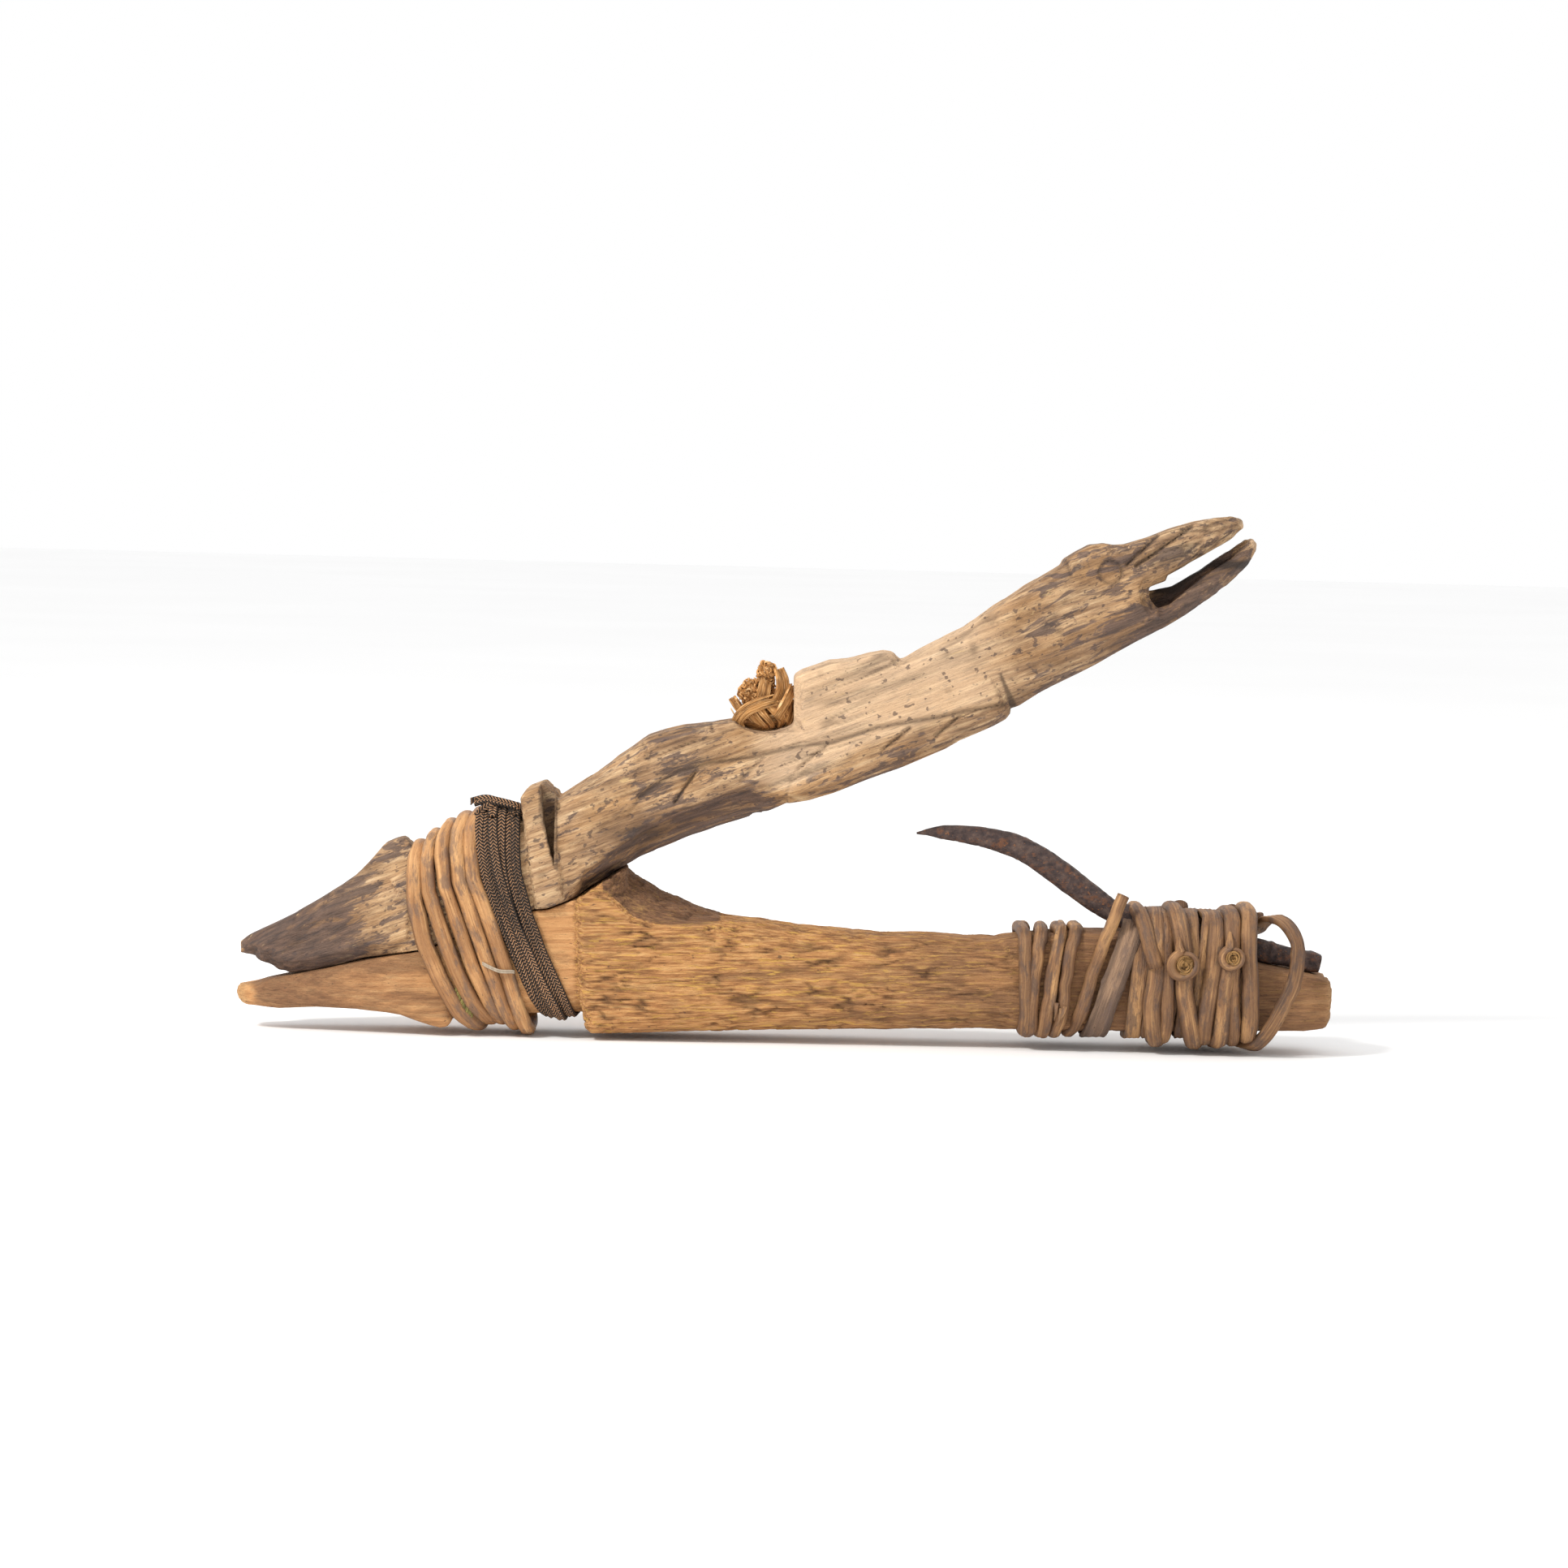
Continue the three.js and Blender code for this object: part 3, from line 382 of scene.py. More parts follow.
def carved_stain_and_shade(vertices):
    """How dark the carved arm is made, 0 for pale worn wood to 1 for the darkest: stains along the arm, and
    painted shade on the pared faces below the ridge.
    """
    x, y, z = vertices.T
    middle = np.interp(x, [-140, -112, -95, -62, *[p[0] for p in RIDGE[2:-1]], 20, 40, 55.6, 70, 95, 120],
                       [27, 33, 40, 30, *[p[1] for p in RIDGE[2:-1]], 77, 84.5, 90, 104, 117, 130])
    upper = np.interp(x, [-138.6, -137.4, -128, -112, -98, -95, -62, -50, -35, -18, 0, 45, 58, 75, 90, 120],
                      [0.4, 1, 1, 0.84, 0.5, 0.52, 0.36, 0.36, 0.6, 0.55, 0.08, 0.1, 0.32, 0.58, 0.56,
                       0.48])
    lower = np.interp(x, [-138.6, -137.4, -124, -112, -98, -62, -55, -45, -10, 5, 30, 55, 60, 80, 95, 120],
                      [0.4, 1, 1, 0.9, 0.47, 0.36, 0.45, 0.75, 0.8, 0.6, 0.62, 0.42, 0.58, 0.7, 0.85, 0.78])
    # Below the middle line the lower values hold: painted shade on the pared faces turned away from the
    # light.
    share = np.clip((z - middle) / 5 + 0.5, 0, 1)
    stain_and_shade = lower + (upper - lower) * share
    facet_edge = x + 102 - 0.2 * (41 - z)
    facet = (facet_edge > 0) & (facet_edge < 5.5) & (z > 26) & (z < 41.5) & (y < -8)
    jaw_tip = np.clip((x - np.interp(z, [128, 134], [118.4, 114.8])) / 1.2, 0, 1)
    return np.where(facet, 0.48, stain_and_shade * (1 - 0.8 * jaw_tip))


# The front edge of the lower arm's saddle, as z at each x.
SADDLE_FRONT = [(-54, 39), (-53.3, 39.6), (-48.3, 41.1), (-44.5, 40.2), (-41.5, 37.2), (-38.5, 33.8),
                (-33, 32.2), (-25, 32), (-17, 32.6), (-13, 36)]


def lower_arm_field(block):
    beak = block.board(
        [(-139.4, 16.8), (-135.2, 17.4), (-131.5, 18.4), (-125.5, 19.6), (-115.5, 21.8), (-104, 24.5),
         (-84, 34), (-84, 12), (-84.4, 8.4), (-85.6, 6.9), (-87.4, 6.6), (-90, 7.3), (-93.8, 8.6),
         (-97.4, 9.9), (-101, 10.4), (-109, 11.2), (-119.3, 11.6), (-129, 11), (-137.4, 11.7),
         (-139.2, 12.6), (-140, 14.6)],
        [(-141, 3.6), (-133, 6), (-115, 9.6), (-97, 12), (-80, 12)], 2.4, rounded=True)
    grooved = block.board(
        [(-96, 60), (-96, 12), (-88, 8.9), (-80.9, 9), (-55, 10.2), (-40, 10.6), (-40, 60)],
        [(-100, 12), (-40, 12)], 7, rounded=True)
    body = block.board(
        [(-53.3, 55), (-53.1, 27.3), (-52, 14.6), (-50.4, 6.6), (-49.1, 5.4), (-31, 5.4), (16.3, 5.8),
         (59.2, 5.8), (66, 5.8), (66, 29.2), (57.6, 28.8), (44, 29.1), (32.2, 29.8), (24.3, 29.6),
         (16.4, 30.6), (4.5, 31.6), (-7.4, 33.2), (-15.4, 34), (-21.7, 35.9), (-31.2, 40), (-38, 43.9),
         (-45, 50), (-48, 55)],
        [(-54, 14), (-20, 13.6), (20, 12.4), (60, 11.2)],
        np.interp(block.plan_x, [-54, -45, -10, 60], [2.5, 4, 7.5, 7.5]), rounded=True)
    front_top = np.interp(block.x, *zip(*SADDLE_FRONT))
    back_top = np.interp(block.x, [-54, -41, -31.2, -21.7, -14], [47, 47, 40, 36.2, 35])
    across = (np.clip((block.y + 13.6) / 17, 0, 1) ** 0.7)[None, :, None]
    saddle_top = front_top[:, None, None] * (1 - across) + back_top[:, None, None] * across
    saddle = block.z[None, None, :] - saddle_top
    near_saddle = ((block.x > -56) & (block.x < -14))[:, None, None]
    body = np.maximum(body, np.where(near_saddle, saddle * 0.8, UNCUT))
    barb_end = block.board(
        [(54, 5.8), (54, 28.9), (60, 29.6), (76.6, 30.5), (88, 30.4), (90.1, 29.7), (122.6, 22.2),
         (132.9, 19.9), (137.1, 19), (139, 18.2), (139.3, 13.7), (138.8, 9), (137.7, 6.4), (132.1, 5.5),
         (85.9, 5.5)],
        [(54, 11.3), (80, 11), (139, 10.2)],
        np.interp(block.plan_x, [54, 70, 130, 139], [7, 4, 2.4, 1.4]), rounded=True)
    above = block.height_over([(x, z - PARTING_GAP) for x, z in PARTING])[:, None, :]
    under_upper = ((block.x > -127) & (block.x < -30.5))[:, None, None]
    whole = np.minimum.reduce([beak, grooved, body, barb_end])
    return np.maximum(whole, np.where(under_upper, above, UNCUT))


def make_carved_arm():
    block = Block((-142, -15, 9), (123, 15, 139), GRID_STEP)
    vertices, quads = block.surface(carved_arm_field(block))
    normals = vertex_normals(vertices, quads)
    grain = along_grain(vertices, UPPER_GRAIN)
    facets = layered_noise(grain / (9, 7, 6), 3, 2)
    fine = layered_noise(grain / (9, 1.1, 1.1), 11, 3)
    checks = ridges(grain / (30, 2.2, 2.2), 23, 2) * np.clip(layered_noise(grain / 14, 29, 2) + 0.2, 0, 1)
    chips = np.clip(value_noise(grain / (3.2, 2.2, 2.2), 37) - 0.55, 0, 1)
    relief = 0.22 * facets + 0.13 * fine - 0.55 * checks - 0.5 * chips
    moved = vertices + normals * relief[:, None]
    # Painted highlight along the ridge's edge, in colour only: the wood was moved before it.
    relief = relief + 0.14 * near_line(vertices[:, 0], vertices[:, 2], RIDGE[3:], 1.3)
    # Painted shade in the checks, chips and cuts.
    crack_shade = np.maximum(checks + chips, carved_cut_shade(vertices))
    attributes = {"grain": grain, "relief": relief, "crack_shade": crack_shade, "stain_and_shade": carved_stain_and_shade(vertices)}
    add_piece("carved_arm_wood", (moved, quads, attributes), "hook", carved_wood(),
              "carved_arm")


def make_lower_arm():
    block = Block((-143, -16, 2), (142, 16, 52), GRID_STEP)
    vertices, quads = block.surface(lower_arm_field(block))
    normals = vertex_normals(vertices, quads)
    grain = along_grain(vertices, 0)
    x = vertices[:, 0]
    rough = np.interp(x, [-53.6, -52.6, 40, 62, 80], [0, 1, 1, 0.6, 0.3])
    warp = layered_noise(grain / (5, 3, 3), 71, 2)[:, None] * (0, 0.5, 0.9)
    cracks = ridges((grain + warp) / (10, 2.4, 1.5), 43, 3)
    cracks *= np.clip(1.3 * layered_noise(grain / (9, 6, 4), 47, 2) + 0.35, 0, 1)
    fibres = layered_noise((grain + warp) / (7, 0.8, 0.62), 53, 3)
    lumps = layered_noise(grain / (8, 5, 4), 59, 3)
    end = np.clip((x - 138.2) / 0.8, 0, 1) + np.clip((-138.6 - x) / 0.8, 0, 1)
    rough_relief = 0.32 * fibres - 0.85 * cracks + 0.2 * lumps
    relief = rough * rough_relief + (1 - rough) * (0.12 * lumps + 0.05 * fibres)
    relief += 0.5 * end * value_noise(grain / (9, 1.2, 0.9), 61)
    moved = vertices + normals * relief[:, None]
    # Darker towards the beak and the barb end.
    stain_and_shade = np.interp(x, [-139.6, -137.5, -134, -126, -112, -98, -60, -53, -50, 0, 30, 55, 62, 76, 92, 120,
                         138],
                     [0, 0.25, 0.85, 0.9, 0.8, 0.7, 0.15, 0.15, 0.35, 0.42, 0.65, 0.76, 0.82, 0.9, 1, 0.95,
                      0.8])
    # Painted shadow of the carved arm on the top of the saddle's scoop.
    scooped = vertices[:, 2] - np.interp(x, *zip(*SADDLE_FRONT))
    in_scoop = (x > -46) & (x < -15) & (vertices[:, 1] > -12.6)
    stain_and_shade = np.maximum(stain_and_shade, np.where(in_scoop, np.clip(scooped / 1.5, 0, 1), 0))
    pale = np.clip((-136.5 - x) / 2, 0, 1) + 0.7 * np.clip((x - 137.4) / 1.4, 0, 1)
    # The crack values paint shade into the cracks.
    attributes = {"grain": grain, "relief": relief, "crack_shade": rough * cracks, "rough": rough, "stain_and_shade": stain_and_shade,
                  "pale": pale}
    add_piece("lower_arm_wood", (moved, quads, attributes), "hook", lower_wood(), "lower_arm")


# ---------------------------------------------------------------- strands


def unit(vectors):
    return vectors / np.maximum(np.linalg.norm(vectors, axis=-1, keepdims=True), 1e-9)


def through(points, steps):
    """A smooth line of steps + 1 points through a few, evenly spaced."""
    points = np.asarray(points, float)
    padded = np.vstack([2 * points[0] - points[1], points, 2 * points[-1] - points[-2]])
    fine = []
    for i in range(1, len(padded) - 2):
        p0, p1, p2, p3 = padded[i - 1:i + 3]
        t = np.linspace(0, 1, 40, endpoint=False)[:, None]
        fine.append(0.5 * (2 * p1 + (p2 - p0) * t + (2 * p0 - 5 * p1 + 4 * p2 - p3) * t**2
                           + (3 * p1 - p0 - 3 * p2 + p3) * t**3))
    return evenly(np.vstack(fine + [points[-1:]]), steps)


def run_along(line):
    """The length of a line up to each of its points."""
    return np.concatenate([[0], np.cumsum(np.linalg.norm(np.diff(line, axis=0), axis=1))])


def evenly(line, steps):
    """A line as steps + 1 evenly spaced points."""
    lengths = run_along(line)
    at = np.linspace(0, lengths[-1], steps + 1)
    return np.stack([np.interp(at, lengths, line[:, k]) for k in range(line.shape[1])], 1)


# Sections of strands of unit size: away from the wood, then across the strand.
HALF_ROUND = [(-0.5, -0.42), (-0.5, -0.2), (-0.5, 0.2), (-0.5, 0.42), (-0.36, 0.5), (-0.1, 0.5),
              (0.16, 0.45), (0.36, 0.34), (0.48, 0.17), (0.5, 0), (0.48, -0.17), (0.36, -0.34),
              (0.16, -0.45), (-0.1, -0.5), (-0.36, -0.5)]
FLAT_STRIP = [(-0.5, -0.46), (-0.5, 0), (-0.5, 0.46), (-0.3, 0.5), (0.3, 0.5), (0.5, 0.44), (0.42, 0.3),
              (0.5, 0.15), (0.44, 0), (0.5, -0.15), (0.42, -0.3), (0.5, -0.44), (0.3, -0.5), (-0.3, -0.5)]
TWIN_RIB = [(-0.5, -0.46), (-0.5, 0.46), (-0.1, 0.5), (0.3, 0.42), (0.48, 0.26), (0.3, 0.08), (0.2, 0),
            (0.3, -0.08), (0.48, -0.26), (0.3, -0.42), (-0.1, -0.5)]


def round_section(sides):
    angles = 2 * np.pi * np.arange(sides) / sides
    return [(-0.5 * math.cos(a), -0.5 * math.sin(a)) for a in angles]


def noise_row(run, row):
    """Places for noise along one line, in a row of its own."""
    return np.stack([run, run * 0, np.full(len(run), float(row))], 1)


def strand_mesh(line, outward, section, width, thickness, seed, rough=0.06):
    """Vertices, faces and texture coordinates of a strand swept along a line. The section's
    first number is away from the wood and its second across the strand, each times its size."""
    count, sides = len(line), len(section)
    tangent = unit(np.gradient(line, axis=0))
    across = unit(np.cross(tangent, outward))
    away = np.cross(across, tangent)
    width = np.broadcast_to(width, count)
    thickness = np.broadcast_to(thickness, count)
    run = run_along(line)
    section = np.array(section)
    u = np.repeat(run, sides)
    v = np.tile(np.arange(sides) * 1.0, count)
    streak = layered_noise(np.stack([u / 9, v * 0.9, np.full(len(u), seed * 7.3)], 1), seed, 2)
    swell = 0.1 * layered_noise(noise_row(run / 8, seed * 1.7), seed + 5, 2)
    knobs = 0.35 * np.clip(value_noise(noise_row(run / 2.6, seed * 3.1), seed + 9) - 0.62, 0, 1)
    radial = np.tile(section, (count, 1)) * np.repeat(1 + swell + knobs, sides)[:, None]
    size = np.stack([np.repeat(thickness, sides), np.repeat(width, sides)], 1)
    offset = radial * size * (1 + rough * streak[:, None])
    points = np.repeat(line, sides, 0) + offset[:, :1] * np.repeat(away, sides, 0) \
        + offset[:, 1:] * np.repeat(across, sides, 0)
    faces = []
    for i in range(count - 1):
        for k in range(sides):
            a, b = i * sides + k, i * sides + (k + 1) % sides
            faces.append((a, b, b + sides, a + sides))
    faces.append(tuple(range(sides))[::-1])
    faces.append(tuple((count - 1) * sides + k for k in range(sides)))
    strand = np.stack([u, offset[:, 1], np.full(len(u), float(seed))], 1)
    end = np.minimum(u, run[-1] - u)
    return points, faces, {"strand": strand, "relief": streak, "end": np.clip(1 - end / 0.35, 0, 1)}


def join_meshes(parts):
    """One (vertices, faces, attributes) shape from a few."""
    points, faces, attributes, base = [], [], {}, 0
    for part_points, part_faces, part_attributes in parts:
        points.append(part_points)
        faces += [tuple(index + base for index in face) for face in part_faces]
        for key, values in part_attributes.items():
            attributes.setdefault(key, []).append(values)
        base += len(part_points)
    merged = {key: np.concatenate(values) for key, values in attributes.items()}
    return np.concatenate(points), faces, merged


class Winding:
    """Turns round an upright section. Each turn's front is described from top to bottom by x
    at a few shares of its height; k counts turns, and half turns are at the back."""

    def __init__(self, shares, first, last, tops, bottoms, depth, squareness=(4, 4)):
        self.shares, self.first, self.last = shares, first, last
        self.tops, self.bottoms, self.depth, self.squareness = tops, bottoms, depth, squareness

    def spot(self, k, phase):
        """The place on turn k at a phase, which is 0 at the top and half pi at the front."""
        turns = len(self.tops)
        up = math.cos(phase)
        power = 2 / (self.squareness[0] if up > 0 else self.squareness[1])
        height = math.copysign(abs(up) ** power, up)
        y = -self.depth * math.copysign(abs(math.sin(phase)) ** power, math.sin(phase))
        share = (1 - height) / 2
        at = np.arange(turns)
        top, bottom = np.interp(k, at, self.tops), np.interp(k, at, self.bottoms)
        part = np.clip(k / max(turns - 1, 1), -0.3, 1.3)
        first, last = (np.interp(share, self.shares, xs) for xs in (self.first, self.last))
        return ((1 - part) * first + part * last, y, top + (bottom - top) * share)

    def line(self, start, turns, per_turn=72, direction=1, first_turn=0.0):
        """From `start`, a share of a turn counted from the top and down the front."""
        first_k = first_turn - 0.25 + (start if direction > 0 else 0)
        spots = []
        for degree in range(int(turns * 360) + 1):
            phase = 2 * math.pi * (start + direction * degree / 360)
            spots.append(self.spot(first_k + degree / 360, phase))
        return evenly(np.array(spots), int(per_turn * turns))


def away_from_axis(line, direction=1):
    """The direction out of a winding that goes round X."""
    return unit(np.cross(unit(np.gradient(line, axis=0)), (1.0, 0, 0)) * direction)


def wobble(line, amount, seed):
    """A line swayed along X."""
    shake = layered_noise(noise_row(np.arange(len(line)) / 7, seed), seed, 2)
    return line + np.array([1.0, 0, 0]) * (amount * shake)[:, None]


# ---------------------------------------------------------------- joint lashing

ROOT_SHARES = [0, 0.06, 0.15, 0.3, 0.52, 0.72, 0.9, 1]
JOINT_FIRST = [-91.8, -92.9, -93.5, -93.6, -90.8, -87.4, -83.2, -78.6]
JOINT_LAST = [-76.3, -78.2, -79.0, -78.3, -73.9, -70.2, -67.5, -66.2]
JOINT_TOPS = [52.9, 56.2, 58.5, 60.3, 61.1]
JOINT_BOTTOMS = [6.2, 8.0, 8.2, 6.8, 5.4]


def make_joint_roots(material):
    winding = Winding(ROOT_SHARES, JOINT_FIRST, JOINT_LAST, JOINT_TOPS, JOINT_BOTTOMS, 13.5)
    line = winding.line(0.0, 4.75, per_turn=90)
    outward = away_from_axis(line)
    line = wobble(line, 0.35, 4)
    run = np.arange(len(line)) / 90
    width = 3.95 + 0.25 * np.sin(run * 5.1)
    add_piece("joint_roots", strand_mesh(line, outward, HALF_ROUND, width, 2.6, 3), "hook",
              material, "joint_root_winding")


BRAID_SHARES = [0, 0.12, 0.2, 0.3, 0.5, 0.72, 0.9, 1]
BRAID_LEFT = [-76.6, -77.2, -76.9, -76, -72.7, -68.3, -64.6, -61.2]
BRAID_RIGHT = [-67.9, -67.6, -67.6, -67.2, -64.6, -59.8, -55.6, -53.2]

# Each turn's place between the braid's left and right edge, at its top and its bottom,
# and how far it stands off the wood.
BRAID_TURNS = [(0.0, 0.1, 12.9), (0.22, 0.2, 13.2), (0.42, 0.52, 12.9), (0.62, 0.36, 13.6),
               (0.8, 0.76, 13.1), (1.0, 0.94, 13.4), (0.34, 0.62, 14.2)]


def make_braid(material):
    shares = np.array(BRAID_SHARES)
    left, right = np.array(BRAID_LEFT), np.array(BRAID_RIGHT)
    parts = []
    for seed, (top, bottom, depth) in enumerate(BRAID_TURNS):
        place = top + (bottom - top) * shares
        path = left + (right - left) * place
        lift = depth - 12.9
        winding = Winding(BRAID_SHARES, path, path, [62 + lift] * 2, [9.8 - lift] * 2, depth, (5, 5))
        line = winding.line(0.02 * seed, 0.99, per_turn=90)
        outward = away_from_axis(line)
        line = wobble(line, 0.35, 60 + seed)
        parts.append(strand_mesh(line, outward, TWIN_RIB, 2.5, 1.3, 40 + seed, rough=0.02))
    add_piece("joint_braid", join_meshes(parts), "hook", material, "joint_braid_winding")


def make_braid_tail(material):
    tail = through([(-66.2, -8, 60.8), (-67.6, -9, 62.9), (-70, -9, 63.7), (-73, -9, 64.4),
                    (-75.6, -9, 64.9), (-78.6, -9, 64.2)], 30)
    up = (0.1, -0.75, 0.65)
    under = through([(-78, -9, 60.4), (-76.4, -9.6, 62.2), (-74.6, -9.6, 63.4), (-73, -9, 64)], 16)
    parts = [strand_mesh(tail, up, TWIN_RIB, np.linspace(2.2, 2.7, 31), 1.0, 50, rough=0.02),
             strand_mesh(under, (0.3, -0.9, 0.3), TWIN_RIB, 1.9, 0.9, 51, rough=0.02)]
    for seed in range(5):
        end = through([(-78, -9.2, 64.1 + 0.25 * seed), (-78.8, -9.2, 63.9 + 0.3 * seed),
                       (-79.4, -9.4, 63.4 + 0.4 * seed)], 6)
        parts.append(strand_mesh(end, up, round_section(6), 0.35, 0.35, 52 + seed))
    add_piece("braid_loose_tail", join_meshes(parts), "hook", material, "braid_tail")


def twisted_cord(points, radius, twist, strands, seed, steps=60):
    """A cord of a few strands twisted round a line."""
    line = through(points, steps)
    tangent = unit(np.gradient(line, axis=0))
    side = unit(np.cross(tangent, [0.2, 0.3, 1]))
    other = np.cross(tangent, side)
    run = run_along(line)
    parts = []
    for strand in range(strands):
        angle = 2 * np.pi * (run / twist + strand / strands)
        outward = side * np.cos(angle)[:, None] + other * np.sin(angle)[:, None]
        parts.append(strand_mesh(line + outward * radius * 0.5, outward, round_section(8), radius * 1.15,
                                 radius * 1.15, seed + strand))
    return join_meshes(parts)


def make_packing(material):
    cord = twisted_cord([(-83, -12.2, 17), (-81.6, -12.2, 13.5), (-80, -11.4, 10.6), (-79, -9, 8.4),
                         (-79.4, 2, 7.9), (-79, 8, 8.2)], 0.9, 3.4, 3, 70, steps=110)
    add_piece("packing_twist", cord, "hook", material, "packing_cord")


def make_thread(material):
    line = through([(-76.2, -15, 23.4), (-74.8, -15.4, 22.7), (-72, -15.5, 21.5), (-68.9, -15.2, 21.3),
                    (-68.2, -14.4, 21.1)], 24)
    parts = [strand_mesh(line + (0, 0, shift), FRONTWARD, round_section(8), 0.5, 0.5, 75)
             for shift in (0, 0.45)]
    add_piece("fixing_thread_look", join_meshes(parts), "hook", material, "fixing_thread")


# ---------------------------------------------------------------- barb lashing

LEAN = [0, 0.5, 1]


def barb_winding(top_x, bottom_x, tops, bottoms, depth, squareness=(3.2, 5)):
    """A winding whose turns lean evenly from top_x to bottom_x, each (first, last)."""
    first = [top_x[0], (top_x[0] + bottom_x[0]) / 2, bottom_x[0]]
    last = [top_x[1], (top_x[1] + bottom_x[1]) / 2, bottom_x[1]]
    return Winding(LEAN, first, last, tops, bottoms, depth, squareness)


def make_front_root(material):
    lead = [(85.6, -12.4, 40.6), (84.1, -12.9, 37.4), (82.3, -13.1, 33), (80.1, -12.9, 27),
            (76.6, -12.7, 15), (73.9, -12.5, 8)]
    winding = barb_winding((77.9, 60.2), (73.3, 58.8), [31.2] * 5, [4.9, 4.9, 4.8, 4.9, 5], 12.5, (5, 5))
    turns = winding.line(0.46, 3.54)
    line = evenly(np.vstack([through(lead, 40)[:-2], turns]), 420)
    outward = away_from_axis(line)
    line = wobble(line, 0.7, 80)
    parts = [strand_mesh(line, outward, HALF_ROUND, 3.3, 2.5, 81)]
    last = barb_winding((60.8, 60.8), (61.2, 61.2), [31.3, 31.3], [5.1, 5.1], 12.6, (5, 5)).line(-0.2, 0.9)
    parts.append(strand_mesh(wobble(last, 0.7, 82), away_from_axis(last), HALF_ROUND, 3.5, 2.4, 82))
    second = winding.line(-0.2, 0.9, first_turn=1.8)
    second_out = away_from_axis(second)
    parts.append(strand_mesh(second + second_out * 0.7, second_out, HALF_ROUND, 2.0, 1.5, 83))
    for seed, (x, z, lean) in enumerate(((70.2, 9.6, -1.2), (69, 11, -0.6), (71.2, 10.2, -2.2))):
        sliver = through([(x, -13.6, z + 2.4), (x + lean * 0.4, -14.4, z), (x + lean, -13.8, z - 2)], 10)
        parts.append(strand_mesh(sliver, FRONTWARD, FLAT_STRIP, np.linspace(1.1, 0.3, 11), 0.5, 84 + seed))
    add_piece("front_root", join_meshes(parts), "hook", material, "barb_front_root")


def make_flat_root(material):
    winding = barb_winding((88.8, 88.8), (78.6, 78.6), [33.4, 33.4], [4.4, 4.4], 12.6, (5, 5))
    line = winding.line(0.08, 0.86, per_turn=120)
    top = line[0] + (line[0] - line[3]) * 0.6
    line = np.vstack([top, line])
    outward = away_from_axis(line)
    add_piece("flat_root", strand_mesh(line, outward, FLAT_STRIP, 5.8, 1.5, 90, rough=0.12), "hook",
              material, "barb_flat_root")


def make_inner_roots(material):
    winding = barb_winding((91.6, 117.6), (87.6, 112.6), [35.6, 35.4, 35.2, 35, 34.8, 34.4, 34], [4.3] * 7,
                           12.4)
    line = winding.line(0.0, 7.0, per_turn=72)
    outward = away_from_axis(line)
    line = wobble(line, 0.8, 95)
    add_piece("inner_roots", strand_mesh(line, outward, FLAT_STRIP, 3.9, 1.9, 96, rough=0.12), "hook",
              material, "barb_inner_winding")


def make_outer_roots(name, node, windings, material, seed):
    parts = []
    for index, (winding, start, turns, direction, width) in enumerate(windings):
        line = winding.line(start, turns, direction=direction)
        outward = away_from_axis(line, direction)
        line = wobble(line, 0.6, seed + index)
        parts.append(strand_mesh(line, outward, HALF_ROUND, width, 2.7, seed + index, rough=0.1))
    add_piece(name, join_meshes(parts), "hook", material, node)


def make_outer_root_pair(material):
    first = [
        (barb_winding((90.2, 90.2), (98.6, 98.6), [36.4, 36.4], [3, 3], 15.8), 0.24, 0.62, -1, 4.0),
        (barb_winding((95.8, 100.6), (92.4, 102.2), [35.4, 36.8], [2.8, 2.1], 14.7), 0.0, 1.95, 1, 4.5),
        (barb_winding((96.4, 96.4), (96.6, 96.6), [35, 35], [3.4, 3.4], 14.2), -0.15, 0.8, 1, 3.8),
    ]
    make_outer_roots("outer_roots_left", "barb_outer_root_1", first, material, 100)
    second = [
        (barb_winding((110.6, 114.6), (105.4, 109.4), [34.6, 35.8], [3.2, 2.3], 14.7), 0.0, 1.95, 1, 4.3),
        (barb_winding((118, 118), (117.6, 117.6), [36.3, 36.3], [3.4, 3.4], 15.2), -0.12, 0.95, 1, 4.3),
        (barb_winding((113.4, 113.4), (113.8, 113.8), [34.6, 34.6], [2.8, 2.8], 14.2), -0.15, 0.8, 1, 3.6),
    ]
    make_outer_roots("outer_roots_right", "barb_outer_root_2", second, material, 110)


LOOP_POINTS = [(116.4, 9, 27.6), (119.8, 6.5, 29.2), (121.6, 3, 30.6), (122.6, -2, 32.8), (124.2, -6, 34.2),
               (127, -10, 33.4), (129.2, -13, 30.2), (129.9, -14.4, 26.4), (128.9, -15.4, 19),
               (126, -15.4, 12.4), (122.8, -14.4, 6.4), (119.8, -11, 2.4), (117.6, -6, 1.4), (116, 0, 1.7),
               (115.2, 5, 2.6)]


def make_loose_loop(material):
    line = through(LOOP_POINTS, 120)
    middle = np.array([119.0, 6, 17])
    add_piece("loose_root_loop", strand_mesh(line, unit(line - middle), FLAT_STRIP, 3.7, 1.5, 120,
                                             rough=0.08), "hook", material, "barb_loose_loop")


def make_eye(name, node, x, z, radius, thickness, tail, material, seed):
    """A root bent into a collar round the cut end, its tail running up on to a turn."""
    angles = np.radians(np.linspace(130, -250, 60))
    spiral = radius * (1 + 0.2 * (angles[0] - angles) / (angles[0] - angles[-1])
                       + 0.1 * np.sin(2 * angles + 1))
    loop = np.stack([x + spiral * np.cos(angles), -17.4 - 0.5 * np.cos(angles),
                     z + 1.12 * spiral * np.sin(angles)], 1)
    line = evenly(np.vstack([loop, np.array(tail)]), 90)
    outward = unit(line - np.array([x, -16.0, z]) + (0, -0.6, 0))
    swell = 1.25 - 0.45 * np.cos(np.linspace(-0.6, 5.6, 91))
    swell[-18:] *= np.linspace(1, 0.6, 18)
    add_piece(name, strand_mesh(line, outward, round_section(12), 1.25 * thickness * swell,
                                1.2 * thickness * swell,
                                         seed, rough=0.35), "hook", material, node)


